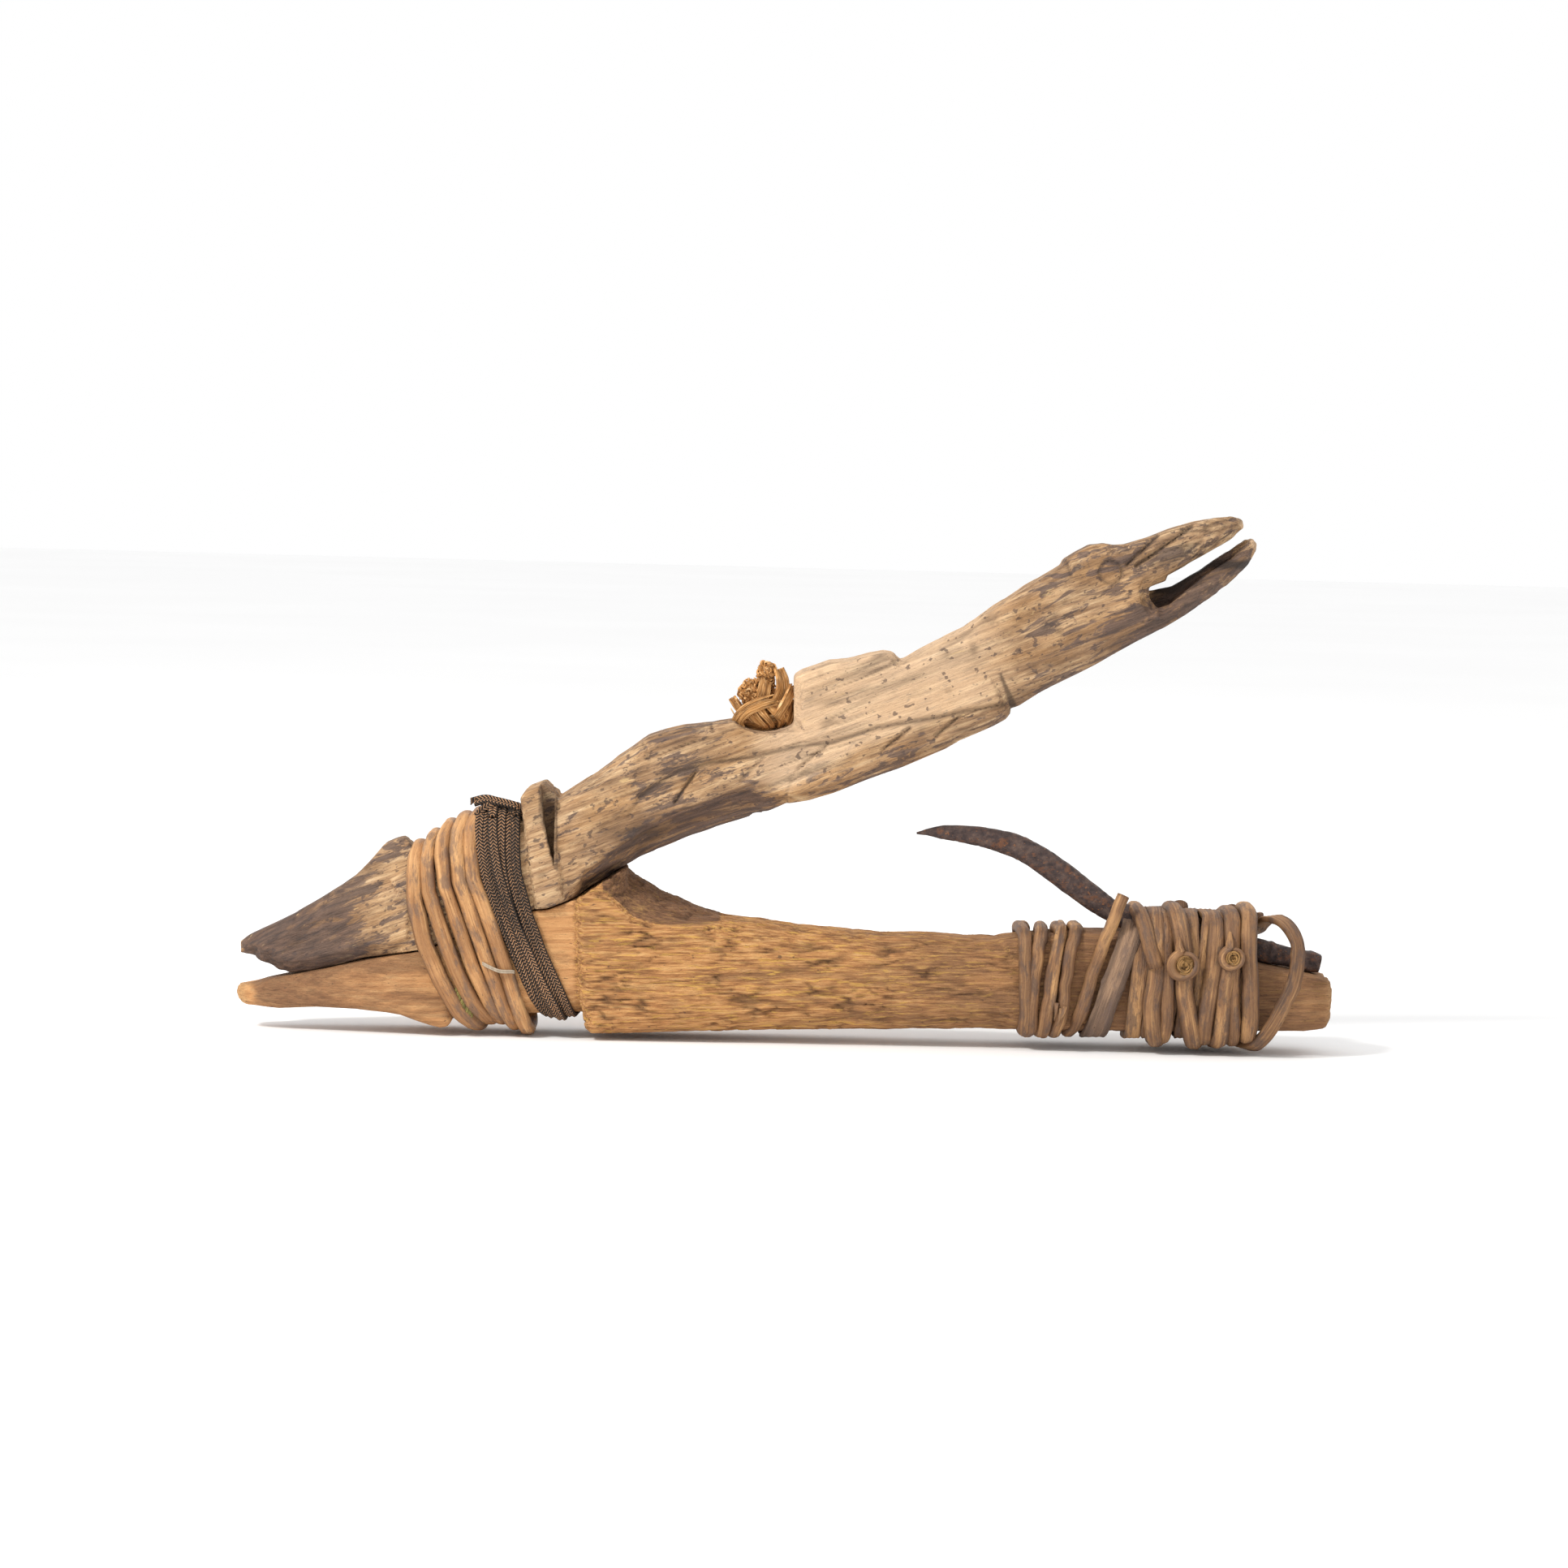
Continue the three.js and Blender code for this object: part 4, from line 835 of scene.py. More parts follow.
def make_root_end(name, node, x, z, radius, material, seed):
    """The cut end of a root inside its eye: curled and crushed fibres, seen end on."""
    rng = np.random.default_rng(seed)
    core = through([(x, -15.6, z), (x, -16.8, z), (x, -17.7, z)], 8)
    parts = [strand_mesh(core, (1.0, 0, 0), round_section(14), 2.1 * radius, 2.3 * radius, seed, rough=0.3)]
    for index in range(14):
        reach = radius * math.sqrt(rng.uniform(0.02, 1)) * 0.95
        angle, turn = rng.uniform(0, 2 * np.pi), rng.uniform(0.6, 2.4)
        sweep_angles = np.linspace(angle, angle + turn, 9)
        lift = -17.7 - rng.uniform(0, 0.7) - 0.25 * np.sin(np.linspace(0, np.pi, 9))
        line = np.stack([x + reach * np.cos(sweep_angles), lift, z + 1.1 * reach * np.sin(sweep_angles)], 1)
        parts.append(strand_mesh(line, FRONTWARD, round_section(6), 0.55, 0.5, seed + index))
    add_piece(name, join_meshes(parts), "hook", material, node)


# ---------------------------------------------------------------- iron barb


def make_iron_barb(material):
    centre = [(137, 0, 21.9), (133, 0, 22.8), (122.6, 0, 25.1), (106, 0, 29.2), (93, 0, 32.5),
              (86, 0, 34.6), (82.4, 0, 36.4), (76.8, 0, 40.4), (69.9, 0, 45.6), (65.2, 0, 48.9),
              (59.4, 0, 52), (51.9, 0, 54.2), (43.6, 0, 55.4), (37.8, 0, 55.7), (33.9, 0, 55.4)]
    line = through(centre, 360)
    share = np.linspace(0, 1, len(line))
    thickness = np.interp(share, [0, 0.02, 0.14, 0.5, 0.62, 0.76, 0.86, 0.94, 1],
                          [4.2, 5, 5.6, 6.2, 6.4, 6, 4.8, 3.4, 0.5])
    width = np.interp(share, [0, 0.5, 0.7, 0.86, 0.95, 1], [6.4, 6.4, 6.2, 4.6, 2.6, 0.4])
    angles = 2 * np.pi * np.arange(28) / 28
    rounding = 2 / 3.4
    section = [(-0.5 * math.copysign(abs(math.cos(a)) ** rounding, math.cos(a)),
                -0.5 * math.copysign(abs(math.sin(a)) ** rounding, math.sin(a))) for a in angles]
    up = (0.15, 0, 1.0)
    points, faces, attributes = strand_mesh(line, up, section, width, thickness, 130, rough=0)
    middle = np.repeat(line, len(section), 0)
    out = unit(points - middle)
    pits = np.clip(value_noise(points / 1.1, 131) - 0.3, 0, 1)
    scale = layered_noise(points / (3.5, 2, 2), 133, 3)
    relief = 0.16 * scale - 0.45 * pits
    size = np.clip(np.linalg.norm(points - middle, axis=1) / 3, 0.1, 1)
    attributes["relief"] = relief
    attributes["grain"] = points
    moved = points + out * (relief * size)[:, None]
    add_piece("iron_barb_forged", (moved, faces, attributes), "hook", material, "iron_barb")


# ---------------------------------------------------------------- leader knot


def fibre_bundle(points, count, spread, width, thickness, seed, fray=0.0, steps=26):
    """A strip of bark as a bundle of fine ribbons side by side, opening out at its end."""
    rng = np.random.default_rng(seed)
    line = through([(HOLE_X + x, y, SEAT_Z + z) for x, y, z in points], steps)
    middle = np.array([HOLE_X, 0, SEAT_Z + 5])
    outward = unit(line - middle)
    tangent = unit(np.gradient(line, axis=0))
    across = unit(np.cross(tangent, outward))
    share = np.linspace(0, 1, len(line))[:, None]
    parts = []
    for index in range(count):
        place = (index + 0.5) / count - 0.5
        drift = np.array([rng.normal(0, 1) for _ in range(3)]) * fray
        bend = rng.normal(0, 0.25)
        lift = outward * rng.uniform(-0.25, 0.35)
        path = line + across * (place * spread + bend * share * (1 - share)) + lift + drift * share**3
        taper = np.interp(share[:, 0], [0, 0.7, 1], [1, 1, 0.35]) * rng.uniform(0.7, 1.2)
        parts.append(strand_mesh(path, outward, FLAT_STRIP, width * taper,
                                 thickness * rng.uniform(0.7, 1.2),
                                 seed + index, rough=0.2))
    return join_meshes(parts)


def ring_points(radius, start_z, rise, turns, start):
    angles = np.linspace(start, start + 2 * np.pi * turns, int(14 * turns) + 1)
    return [(radius * math.cos(a), radius * math.sin(a), start_z + rise * (a - start) / (2 * np.pi))
            for a in angles]


# For each strip of the knot: its points from the hole's middle on the seat, then the number of
# ribbons, the width over all of them, each one's width and thickness, and how far they fray.
KNOT = {
    "knot_base_wraps": [(ring_points(5.4, -1.6, 1.1, 2.2, 2.4), 5, 2.8, 1.0, 1.1, 0.0)],
    "knot_top_wraps": [
        (ring_points(3.6, 3.4, 1.5, 2.2, 0.0), 5, 2.8, 1.0, 1.2, 0.1),
        ([(-0.4, -5.4, 4.6), (0.4, -6.2, 7), (0.8, -5.6, 10.4)], 5, 3.4, 1.0, 1.0, 0.2)],
    "knot_front_strip": [
        ([(-5.6, -5, -2.2), (-6.1, -6.6, 0), (-4.1, -8.6, 2.6), (-0.8, -9.4, 4.3), (3.2, -8.8, 5.3)], 5,
         2.9, 0.9, 1.0, 0.2)],
    "knot_right_strand": [
        ([(3.6, -8.6, 1), (5, -8.2, 3.2), (6.6, -7, 6), (8, -5.6, 8.6)], 4, 2.2, 0.8, 1.0, 0.3),
        ([(6.4, -6, -0.8), (7.4, -4.8, 2.6), (7.2, -3.6, 5.6)], 4, 3, 0.9, 1.1, 0.2)],
    "knot_back_strip": [
        ([(5, 4.6, -0.4), (2.6, 6.4, 2.2), (-1, 6.9, 4), (-4, 5.6, 5.8), (-5, 3.8, 7)], 5, 3, 0.9, 0.8,
         0.4)],
    "knot_left_leaf": [
        ([(-4.4, -4.6, 1.4), (-6, -4.4, 3.6), (-7.6, -4, 5.8)], 4, 2.6, 0.9, 0.6, 0.1),
        ([(-6.4, -5, 0.4), (-7.2, -4.8, 1.6), (-8, -4.4, 3)], 1, 0.0, 0.3, 0.3, 0.0)],
    "knot_left_stub": [([(-2.2, -4.4, 3), (-3, -4.4, 5.6), (-3.2, -4, 8.6)], 6, 4.4, 1.1, 1.6, 0.2)],
    "knot_right_leaf": [
        ([(4, -6, 4.6), (5, -5.6, 7.4), (5, -5, 10.2), (4, -4.4, 13)], 5, 3.6, 1.1, 0.7, 0.1)],
}


def basket(seed):
    """Fine strands laid aslant round the rounded base of the knot."""
    centre, size = np.array([HOLE_X + 1.5, -2.0, SEAT_Z + 2.0]), np.array([6.2, 6.8, 4.4])
    rng = np.random.default_rng(seed)
    parts = []
    for index in range(34):
        start = 2 * np.pi * index / 34 + rng.normal(0, 0.06)
        around = np.linspace(start, start + rng.uniform(0.5, 1.1), 16)
        height = np.linspace(rng.uniform(0.4, 0.7), -1.0, 16)
        line = np.stack([np.cos(height) * np.cos(around), np.cos(height) * np.sin(around), np.sin(height)],
                        1)
        line = centre + size * line * rng.uniform(0.94, 1.04)
        parts.append(strand_mesh(line, unit(line - centre), FLAT_STRIP, rng.uniform(0.7, 1.3), 0.8,
                                 seed + index, rough=0.2))
    return join_meshes(parts)


def curls(place, size, count, seed):
    """A crumpled tuft of torn fibre: short curled ribbons over a rough core."""
    rng = np.random.default_rng(seed)
    place, size = np.array([HOLE_X, 0, SEAT_Z]) + place, np.array(size)
    core = through([place - (0, 0, size[2] * 0.9), place, place + (0, 0, size[2] * 0.9)], 8)
    bulge = np.sin(np.linspace(0.5, np.pi - 0.3, 9))
    parts = [strand_mesh(core, FRONTWARD, round_section(12), 1.7 * size[0] * bulge, 1.7 * size[1] * bulge,
                         seed, rough=0.5)]
    for index in range(count):
        middle = place + size * unit(rng.normal(0, 1, 3)) * rng.uniform(0.75, 1.0)
        radius, turn, start = rng.uniform(0.3, 0.65), rng.uniform(2.5, 6), rng.uniform(0, 6.3)
        angles = np.linspace(start, start + turn, 14)
        side = unit(rng.normal(0, 1, 3))
        other = unit(np.cross(side, rng.normal(0, 1, 3)))
        line = middle + radius * (np.cos(angles)[:, None] * side + np.sin(angles)[:, None] * other) \
            + np.linspace(-0.4, 0.4, 14)[:, None] * np.cross(side, other)
        parts.append(strand_mesh(line, unit(line - middle), FLAT_STRIP, rng.uniform(0.4, 0.75), 0.35,
                                 seed + index, rough=0.2))
    return join_meshes(parts)


def make_knot(material):
    for index, (node, strips) in enumerate(KNOT.items()):
        parts = [fibre_bundle(points, count, spread, width, thickness, 200 + 20 * index + 7 * number, fray)
                 for number, (points, count, spread, width, thickness, fray) in enumerate(strips)]
        if node == "knot_left_stub":
            parts.append(curls((-3.2, -4.6, 7.2), (2.5, 2.1, 3.0), 120, 400))
        if node == "knot_base_wraps":
            parts.append(basket(500))
        add_piece(node + "_fibres", join_meshes(parts), "leader", material, node)


def make_stub(material):
    """The stub in its hole: twisted strands below, torn fibres standing up at the top."""
    rng = np.random.default_rng(5)
    body = twisted_cord([(HOLE_X, 0, 65.2), (HOLE_X, 0, 76), (HOLE_X, 0, SEAT_Z + 1)], 2.55, 16, 3, 300,
                        steps=50)
    parts = [body]
    for index in range(16):
        angle, reach = rng.uniform(0, 2 * np.pi), math.sqrt(rng.uniform(0, 1)) * 1.6
        x, y = HOLE_X + 0.8 + reach * math.cos(angle), reach * math.sin(angle) - 2.4
        lean = rng.normal(0, 0.2, 2)
        top = SEAT_Z + rng.uniform(9.5, 11.5)
        line = through([(x, y, SEAT_Z), (x - 0.4, y, SEAT_Z + 6), (x + lean[0], y + lean[1], top - 2),
                        (x + 1.8 * lean[0], y + 1.8 * lean[1], top)], 14)
        parts.append(strand_mesh(line, FRONTWARD, FLAT_STRIP, rng.uniform(0.8, 1.3), 0.7,
                                 320 + index, rough=0.2))
    parts.append(curls((1.0, -3.6, 12.4), (2.3, 2.1, 2.2), 90, 450))
    parts.append(curls((0.6, -3.2, 9.4), (2.6, 2.0, 2.6), 90, 600))
    add_piece("leader_stub_fibres", join_meshes(parts), "leader", material, "leader_stub")


# ---------------------------------------------------------------- materials


def linear(colour):
    """A colour in the usual 0 to 255 steps, as the linear numbers that nodes use."""
    return tuple((v / 255 / 12.92) if v <= 10 else ((v / 255 + 0.055) / 1.055) ** 2.4 for v in colour)


class Shader:
    """A material's node tree, with short calls for the few nodes used here."""

    def __init__(self, name, roughness=0.8, metallic=0.0):
        self.material = bpy.data.materials.new(name)
        self.material.use_nodes = True
        self.tree = self.material.node_tree
        self.surface = self.tree.nodes["Principled BSDF"]
        self.surface.inputs["Roughness"].default_value = roughness
        self.surface.inputs["Metallic"].default_value = metallic
        self.bumps = None

    def node(self, kind, **settings):
        made = self.tree.nodes.new(kind)
        for key, value in settings.items():
            setattr(made, key, value)
        return made

    def link(self, out, socket):
        self.tree.links.new(out, socket)

    def attribute(self, name, value=False):
        """A mesh attribute, as its vector or as its value."""
        made = self.node("ShaderNodeAttribute", attribute_name=name)
        return made.outputs["Fac" if value else "Vector"]

    def stretched(self, vector, scale):
        made = self.node("ShaderNodeMapping")
        made.inputs["Scale"].default_value = scale
        self.link(vector, made.inputs["Vector"])
        return made.outputs["Vector"]

    def noise(self, vector, scale, detail=3.0, roughness=0.55, distortion=0.0):
        made = self.node("ShaderNodeTexNoise")
        made.inputs["Scale"].default_value = 1.0
        made.inputs["Detail"].default_value = detail
        made.inputs["Roughness"].default_value = roughness
        made.inputs["Distortion"].default_value = distortion
        self.link(self.stretched(vector, scale), made.inputs["Vector"])
        return made.outputs["Fac"]

    def math(self, operation, a, b=0.0):
        made = self.node("ShaderNodeMath", operation=operation)
        for socket, value in zip(made.inputs, (a, b)):
            if isinstance(value, (int, float)):
                socket.default_value = value
            else:
                self.link(value, socket)
        return made.outputs[0]

    def ramp(self, factor, *stops):
        made = self.node("ShaderNodeValToRGB")
        elements = made.color_ramp.elements
        while len(elements) < len(stops):
            elements.new(0.5)
        for element, (place, colour) in zip(elements, stops):
            element.position = place
            element.color = (*(linear(colour) if isinstance(colour, tuple) else (colour,) * 3), 1)
        self.link(factor, made.inputs["Fac"])
        return made.outputs["Color"]

    def mask(self, factor, low, high):
        """Black up to low, white from high."""
        return self.ramp(factor, (low, 0.0), (high, 1.0))

    def over(self, tone, colour, mask, amount):
        """A colour laid over a tone where a mask is white."""
        return self.mix(self.math("MULTIPLY", mask, amount), tone, colour)

    def mix(self, factor, a, b, blend="MIX"):
        made = self.node("ShaderNodeMix", data_type="RGBA", blend_type=blend)
        for name, value in (("Factor", factor), ("A", a), ("B", b)):
            socket = next(s for s in made.inputs if s.name == name and s.enabled)
            if isinstance(value, tuple):
                socket.default_value = (*linear(value), 1)
            elif isinstance(value, (int, float)):
                socket.default_value = value
            else:
                self.link(value, socket)
        return next(s for s in made.outputs if s.enabled)

    def bump(self, height, distance):
        """Raised by a height of so many millimetres."""
        made = self.node("ShaderNodeBump")
        made.inputs["Strength"].default_value = 1.0
        made.inputs["Distance"].default_value = distance / 1000
        self.link(height, made.inputs["Height"])
        if self.bumps is not None:
            self.link(self.bumps, made.inputs["Normal"])
        self.bumps = made.outputs["Normal"]

    def done(self, colour, roughness=None):
        """The material, with its colour, its bumps and perhaps a varying roughness joined on."""
        self.link(colour, self.surface.inputs["Base Color"])
        if roughness is not None:
            self.link(roughness, self.surface.inputs["Roughness"])
        if self.bumps is not None:
            self.link(self.bumps, self.surface.inputs["Normal"])
        return self.material


def carved_wood():
    s = Shader("weathered carved wood", 0.78)
    grain = s.attribute("grain")
    streaks = s.noise(grain, (0.05, 0.9, 0.9), 5)
    stain_and_shade = s.attribute("stain_and_shade", value=True)
    lean = s.math("MULTIPLY", s.math("SUBTRACT", stain_and_shade, 0.38), 0.3)
    tone = s.ramp(streaks, (0.3, (132, 100, 70)), (0.45, (172, 136, 100)), (0.6, (200, 166, 126)),
                  (0.75, (226, 196, 156)))
    patches = s.mask(s.math("ADD", s.noise(grain, (0.06, 0.15, 0.15), 5, 0.6), lean), 0.46, 0.66)
    tone = s.over(tone, s.ramp(streaks, (0.3, (84, 60, 42)), (0.7, (146, 108, 70))), patches, 0.8)
    warm = s.mask(s.noise(grain, (0.03, 0.09, 0.09), 3), 0.45, 0.65)
    tone = s.over(tone, (196, 144, 84), warm, 0.35)
    stain_noise = s.math("ADD", s.noise(grain, (0.085, 0.36, 0.36), 7, 0.66, 0.8), lean)
    stains = s.mask(stain_noise, 0.575, 0.62)
    tone = s.over(tone, s.ramp(streaks, (0.35, (60, 48, 46)), (0.7, (104, 82, 74))), stains, 0.8)
    specks = s.mask(s.noise(grain, (0.42, 0.9, 0.9), 4, 0.6), 0.61, 0.67)
    tone = s.over(tone, (70, 52, 44), specks, 0.75)
    pores = s.ramp(s.noise(grain, (0.16, 1.9, 1.9), 4, 0.6), (0.34, 1.0), (0.47, 0.0))
    tone = s.over(tone, (104, 78, 58), pores, 0.62)
    # Paler where the stain and shade mask is low; darker where it is high, for stains and for painted shade
    # on the faces below the ridge.
    tone = s.mix(s.ramp(stain_and_shade, (0.0, 0.6), (0.34, 0.0)), tone, (232, 200, 166))
    grime_and_shade = s.ramp(streaks, (0.35, (62, 46, 40)), (0.7, (112, 84, 66)))
    tone = s.mix(s.ramp(stain_and_shade, (0.6, 0.0), (1.0, 0.9)), tone, grime_and_shade)
    dots = s.mask(s.noise(grain, (0.4, 0.56, 0.56), 2, 0.5), 0.64, 0.675)
    tone = s.over(tone, (72, 56, 52), dots, 0.68)
    chips = s.mask(s.noise(grain, (0.16, 0.6, 0.6), 4, 0.5, 0.6), 0.7, 0.74)
    tone = s.over(tone, (226, 190, 132), chips, 0.5)
    # Painted shade in the cuts and cracks.
    crack_shade = s.attribute("crack_shade", value=True)
    tone = s.over(tone, (48, 34, 25), crack_shade, 0.9)
    # Painted highlight on raised relief and along the ridge's edge.
    relief_highlight = s.mask(s.attribute("relief", value=True), 0.16, 0.3)
    tone = s.over(tone, (226, 194, 148), relief_highlight, 0.5)
    s.bump(s.noise(grain, (0.2, 2.6, 2.6), 4), 0.5)
    s.bump(s.noise(grain, (0.9, 1.4, 1.4), 3), 0.25)
    return s.done(tone, s.ramp(stain_noise, (0.4, 0.86), (0.7, 0.64)))


def lower_wood():
    s = Shader("fibrous orange wood", 0.85)
    grain = s.attribute("grain")
    rough = s.attribute("rough", value=True)
    streaks = s.noise(grain, (0.14, 2.0, 2.0), 6, 0.62)
    stain_and_shade = s.attribute("stain_and_shade", value=True)
    lean = s.math("MULTIPLY", s.math("SUBTRACT", stain_and_shade, 0.4), 0.3)
    tone = s.ramp(streaks, (0.32, (128, 84, 46)), (0.45, (176, 122, 72)), (0.56, (202, 148, 92)),
                  (0.72, (222, 176, 116)))
    smooth = s.ramp(s.noise(grain, (0.04, 0.9, 0.9), 5), (0.3, (176, 122, 74)), (0.5, (208, 152, 98)),
                    (0.7, (226, 176, 120)))
    tone = s.mix(rough, smooth, tone)
    dark = s.mask(s.math("ADD", s.noise(grain, (0.05, 0.2, 0.2), 6, 0.65), lean), 0.5, 0.66)
    tone = s.over(tone, s.ramp(streaks, (0.3, (74, 50, 34)), (0.7, (126, 88, 56))), dark, 0.6)
    golden = s.mask(s.noise(grain, (0.15, 1.5, 1.5), 5, 0.6, 0.8), 0.56, 0.62)
    tone = s.over(tone, (218, 170, 84), s.math("MULTIPLY", golden, rough), 0.7)
    # Darker where the stain and shade mask is high: stains, and painted shadow in the saddle's scoop.
    deep = s.ramp(streaks, (0.35, (90, 62, 46)), (0.7, (150, 108, 76)))
    tone = s.mix(s.ramp(stain_and_shade, (0.5, 0.0), (1.0, 0.7)), tone, deep)
    ends = s.ramp(s.noise(grain, (0.8, 1.1, 2.4), 5, 0.65), (0.35, (142, 102, 62)), (0.65, (220, 176, 122)))
    tone = s.over(tone, ends, s.attribute("pale", value=True), 0.6)
    specks = s.mask(s.noise(grain, (0.5, 0.9, 0.9), 3), 0.68, 0.73)
    tone = s.over(tone, (76, 56, 44), specks, 0.7)
    # Painted shade in the cracks.
    crack_shade = s.attribute("crack_shade", value=True)
    tone = s.over(tone, (64, 40, 22), crack_shade, 0.85)
    # Painted highlight on raised fibres.
    raised_highlight = s.mask(s.attribute("relief", value=True), 0.12, 0.3)
    tone = s.over(tone, (206, 160, 92), s.math("MULTIPLY", raised_highlight, rough), 0.55)
    s.bump(s.noise(grain, (0.3, 3.2, 3.2), 5, 0.6), 0.6)
    s.bump(s.noise(grain, (1.2, 1.8, 1.8), 3), 0.2)
    return s.done(tone)


def root_material(name, tones, stain, stain_amount, roughness):
    s = Shader(name, roughness)
    strand = s.attribute("strand")
    lines = s.noise(strand, (0.07, 2.0, 3.1), 4, 0.55)
    tone = s.ramp(lines, (0.25, tones[0]), (0.48, tones[1]), (0.74, tones[2]))
    broad = s.noise(strand, (0.045, 0.12, 5.7), 3, 0.6)
    tone = s.over(tone, tones[0], s.ramp(broad, (0.44, 1.0), (0.56, 0.0)), 0.55)
    tone = s.over(tone, tones[2], s.mask(broad, 0.52, 0.64), 0.5)
    patch = s.mask(s.noise(strand, (0.16, 0.45, 3.1), 5, 0.66), 0.5, 0.6)
    tone = s.over(tone, stain, patch, stain_amount)
    specks = s.mask(s.noise(strand, (1.0, 1.6, 3.1), 2), 0.7, 0.75)
    tone = s.over(tone, (60, 42, 32), specks, 0.7)
    tone = s.over(tone, tones[0], s.attribute("end", value=True), 0.5)
    parts = s.node("ShaderNodeSeparateXYZ")
    s.link(strand, parts.inputs[0])
    # Painted shade: each strand darkens towards its side edges, where the turns meet.
    offset = s.math("MULTIPLY", s.math("ABSOLUTE", parts.outputs["Y"]), 0.5)
    tone = s.mix(s.ramp(offset, (0.66, 0.0), (1.0, 0.5)), tone, (56, 39, 29))
    s.bump(s.noise(strand, (0.25, 4.0, 3.1), 4), 0.3)
    s.bump(s.noise(strand, (0.9, 1.3, 3.1), 3), 0.25)
    return s.done(tone)


def braid_material():
    """A flat braid: chevrons that meet along the middle of each rib."""
    s = Shader("flat brown braid", 0.72)
    strand = s.attribute("strand")
    parts = s.node("ShaderNodeSeparateXYZ")
    s.link(strand, parts.inputs[0])
    across = s.math("ABSOLUTE", s.math("SUBTRACT", s.math("ABSOLUTE", parts.outputs["Y"]), 0.75))
    slant = s.math("ADD", s.math("MULTIPLY", parts.outputs["X"], 1.15), s.math("MULTIPLY", across, 1.4))
    wave = s.math("SINE", s.math("MULTIPLY", slant, 2 * math.pi))
    weave = s.math("ADD", s.math("MULTIPLY", wave, 0.5), 0.5)
    tone = s.ramp(weave, (0.25, (20, 14, 10)), (0.6, (74, 53, 39)), (0.95, (204, 154, 112)))
    own = s.ramp(s.noise(strand, (0.03, 0.0, 1.37), 1), (0.36, 0.35), (0.58, 1.0))
    tone = s.mix(1.0, tone, own, "MULTIPLY")
    glints = s.mask(s.noise(strand, (1.6, 2.2, 3.1), 2), 0.56, 0.68)
    tone = s.over(tone, (216, 158, 108), s.math("MULTIPLY", glints, weave), 0.95)
    # Painted shade along each strand's edges, where strands meet.
    seam_shade = s.ramp(s.math("ABSOLUTE", parts.outputs["Y"]), (0.0, 1.0), (0.12, 0.0), (0.86, 0.0), (1.0, 1.0))
    tone = s.over(tone, (20, 14, 11), seam_shade, 0.85)
    s.bump(weave, 0.4)
    return s.done(tone)


def fibre_material(name, tones, roughness=0.85):
    s = Shader(name, roughness)
    strand = s.attribute("strand")
    lines = s.noise(strand, (0.2, 6.0, 3.1), 4, 0.6)
    tone = s.ramp(lines, (0.3, tones[0]), (0.52, tones[1]), (0.72, tones[2]))
    patch = s.mask(s.noise(strand, (0.3, 0.6, 2.3), 3), 0.5, 0.66)
    tone = s.over(tone, tones[0], patch, 0.6)
    s.bump(s.noise(strand, (0.4, 9.0, 3.1), 3), 0.2)
    return s.done(tone)


def iron_material():
    s = Shader("forged rusty iron", 0.72, 0.25)
    grain = s.attribute("grain")
    base = s.ramp(s.noise(grain, (0.5, 0.6, 0.6), 5, 0.62), (0.32, (48, 38, 38)), (0.5, (76, 60, 56)),
                  (0.68, (102, 82, 72)))
    rust = s.mask(s.noise(grain, (0.34, 0.5, 0.5), 6, 0.7), 0.54, 0.64)
    tone = s.over(base, (126, 80, 50), rust, 0.62)
    spots = s.mask(s.noise(grain, (1.3, 1.4, 1.4), 3), 0.64, 0.7)
    tone = s.over(tone, (158, 102, 56), spots, 0.7)
    s.bump(s.noise(grain, (1.5, 1.7, 1.7), 5, 0.65), 0.45)
    return s.done(tone, s.ramp(s.noise(grain, (0.8, 0.8, 0.8), 3), (0.4, 0.6), (0.7, 0.86)))


def thread_material():
    s = Shader("pale thread", 0.45)
    strand = s.attribute("strand")
    tone = s.ramp(s.noise(strand, (1.5, 3.0, 3.0), 2), (0.35, (168, 150, 126)), (0.65, (204, 188, 166)))
    s.surface.inputs["Transmission Weight"].default_value = 0.25
    return s.done(tone)


# ---------------------------------------------------------------- studio

# The width seen at the hook, in metres.
FRAME_WIDTH = 0.4004
LENS = 100.0
SENSOR = 36.0
CAMERA_HEIGHT_ANGLE = math.radians(4)
KEY_PLACE = Vector((-0.7, -0.6, 0.95))
KEY_AIM = Vector((0, 0, 0.06))
KEY_SIZE = 0.25
KEY_POWER = 11.5
KEY_COLOUR = (1, 0.98, 0.95)


def make_camera():
    target = placed([(0.0, 0.0, 68.0)])[0]
    distance = FRAME_WIDTH * LENS / SENSOR
    turn = Matrix.Rotation(LEVEL_ANGLE, 3, "Y")
    back = turn @ Vector((0, -math.cos(CAMERA_HEIGHT_ANGLE), math.sin(CAMERA_HEIGHT_ANGLE)))
    up = turn @ Vector((0, math.sin(CAMERA_HEIGHT_ANGLE), math.cos(CAMERA_HEIGHT_ANGLE)))
    right = up.cross(back)
    camera = bpy.data.objects.new("camera", bpy.data.cameras.new("camera"))
    camera.data.lens = LENS
    camera.data.sensor_width = SENSOR
    camera.data.clip_start = 0.01
    facing = Matrix((right, up, back)).transposed().to_4x4()
    camera.matrix_world = Matrix.Translation(Vector(target) + back * distance) @ facing
    bpy.context.scene.collection.objects.link(camera)
    bpy.context.scene.camera = camera


def make_key_light():
    data = bpy.data.lights.new("key", "AREA")
    data.shape, data.size, data.energy, data.color = "DISK", KEY_SIZE, KEY_POWER, KEY_COLOUR
    light = bpy.data.objects.new("key", data)
    light.location = KEY_PLACE
    light.rotation_mode = "QUATERNION"
    light.rotation_quaternion = (KEY_AIM - KEY_PLACE).to_track_quat("-Z", "Y")
    bpy.context.scene.collection.objects.link(light)


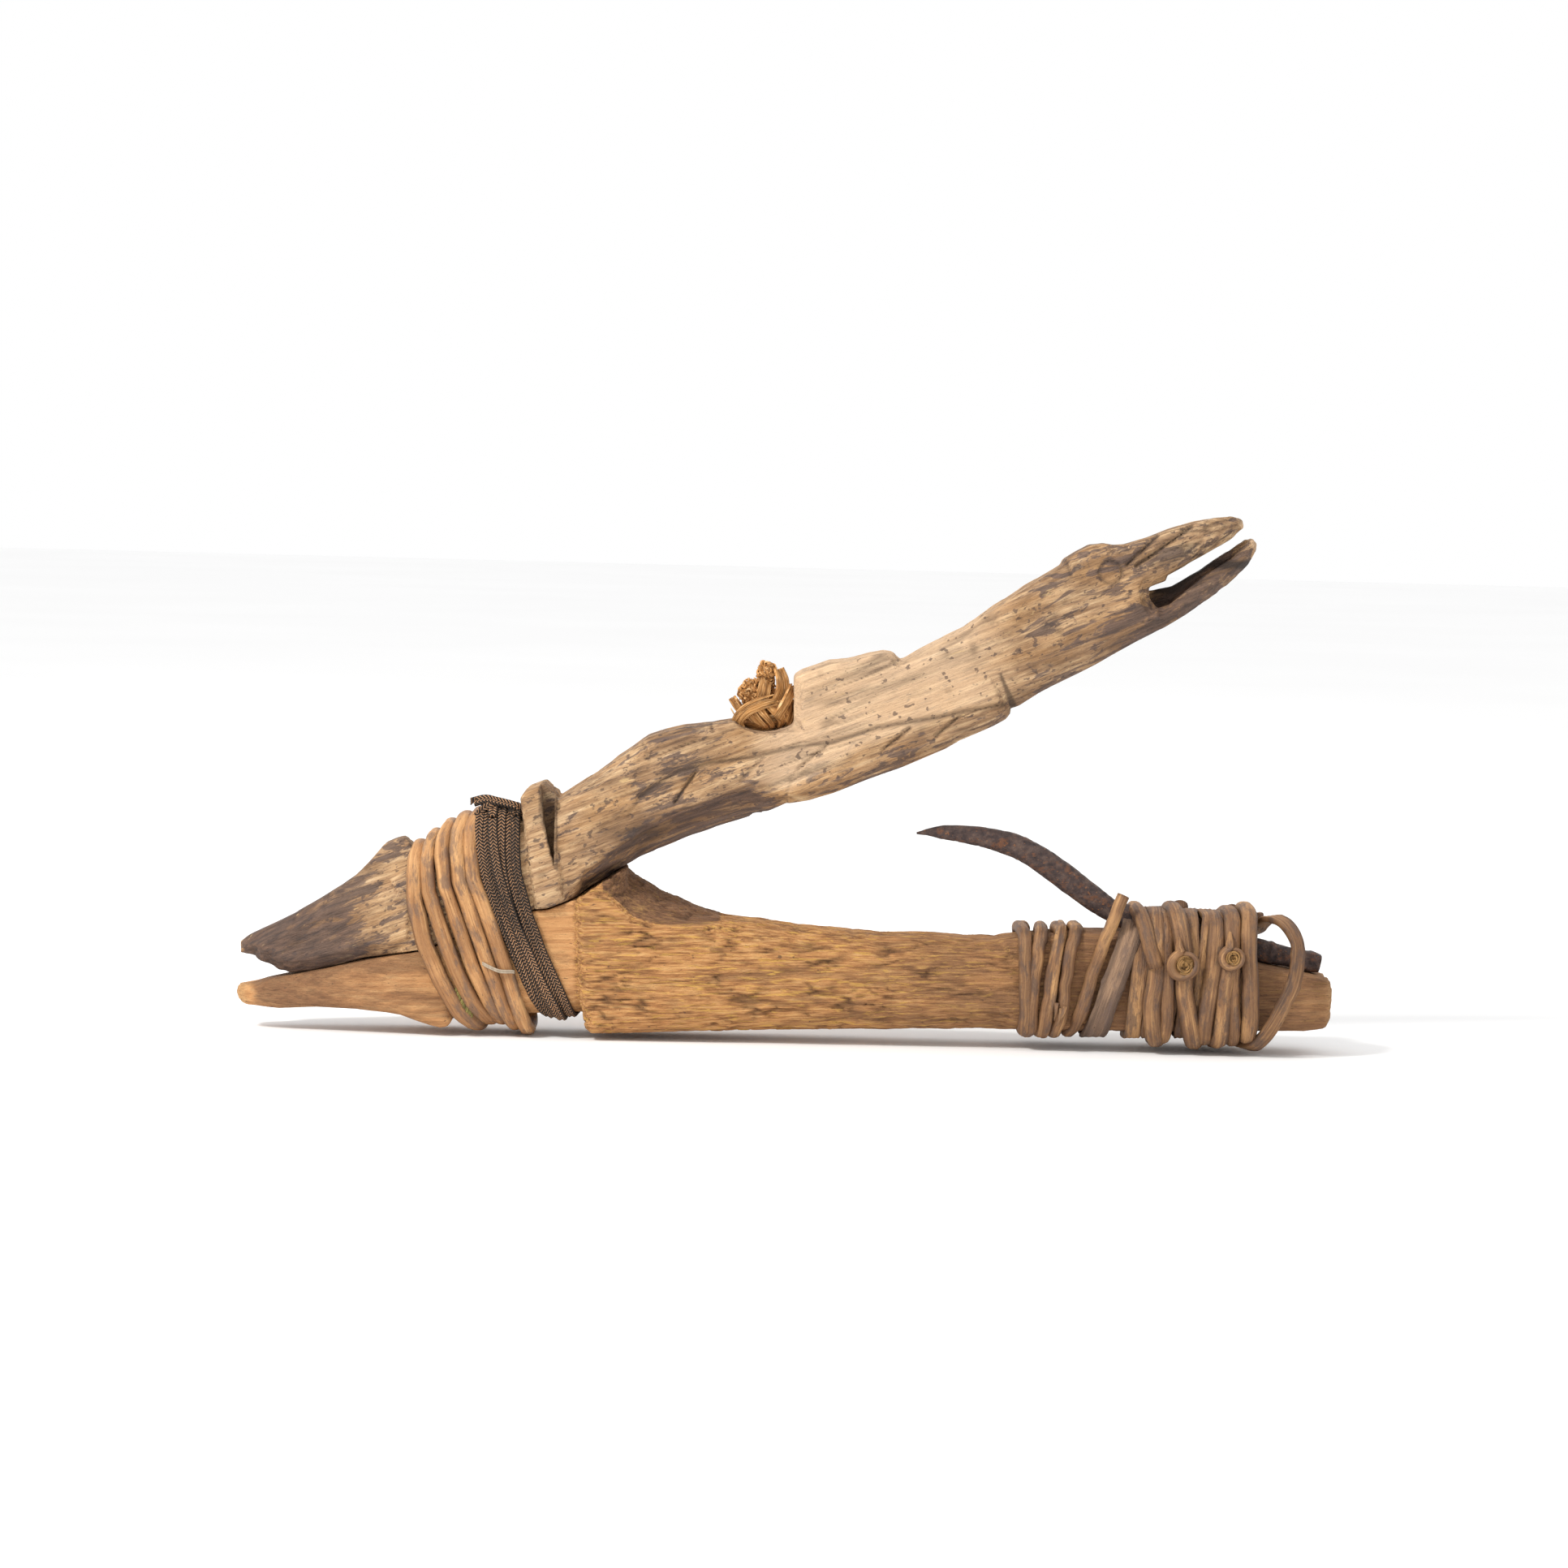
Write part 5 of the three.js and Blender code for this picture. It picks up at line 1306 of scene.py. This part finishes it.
def make_studio():
    floor = make_mesh("floor", [(-4, -4, 0), (4, -4, 0), (4, 6, 0), (-4, 6, 0)], [(0, 1, 2, 3)],
                      in_place=True)
    s = Shader("pale floor", 0.9)
    place = s.node("ShaderNodeTexCoord").outputs["Object"]
    floor.data.materials.append(s.done(s.ramp(s.noise(place, (3, 3, 3), 2), (0.3, 0.95), (0.7, 0.97))))
    world = bpy.data.worlds.new("studio")
    world.use_nodes = True
    world.node_tree.nodes["Background"].inputs["Color"].default_value = (1, 1, 1, 1)
    world.node_tree.nodes["Background"].inputs["Strength"].default_value = 1.0
    bpy.context.scene.world = world
    bpy.context.scene.view_settings.view_transform = "Standard"
    make_key_light()


# ---------------------------------------------------------------- the object

make_camera()
make_studio()

make_carved_arm()
make_lower_arm()
make_iron_barb(iron_material())

joint_root = root_material("joint root", ((134, 90, 52), (186, 134, 84), (218, 168, 112)), (110, 88, 74),
                           0.65, 0.58)
make_joint_roots(joint_root)
braid = braid_material()
make_braid(braid)
make_braid_tail(braid)
make_packing(fibre_material("mossy cord", ((84, 76, 40), (140, 128, 68), (176, 166, 96))))
make_thread(thread_material())

dark_root = root_material("barb root", ((94, 64, 42), (148, 106, 68), (196, 150, 98)), (82, 64, 56), 0.62,
                          0.6)
make_front_root(dark_root)
make_flat_root(root_material("grey split root", ((90, 68, 54), (132, 104, 82), (168, 134, 104)),
                             (96, 78, 72), 0.5, 0.7))
make_inner_roots(dark_root)
make_outer_root_pair(dark_root)
make_loose_loop(dark_root)
make_eye("root_eye_left", "root_eye_1", 101, 23.4, 2.65, 1.3, [(99.6, -17, 27.6), (99.8, -13.4, 31)],
         dark_root, 140)
make_eye("root_eye_right", "root_eye_2", 113.2, 25.2, 2.05, 1.1, [(112.4, -17, 28.6), (112.8, -13.4, 31.6)],
         dark_root, 142)
torn_end = fibre_material("torn root end", ((84, 60, 36), (156, 116, 66), (200, 158, 98)))
make_root_end("root_end_left", "root_end_1", 101, 23.4, 2.35, torn_end, 150)
make_root_end("root_end_right", "root_end_2", 113.2, 25.2, 1.8, torn_end, 170)

bark = fibre_material("dry bark fibre", ((92, 55, 25), (200, 142, 78), (252, 216, 162)))
make_stub(bark)
make_knot(bark)
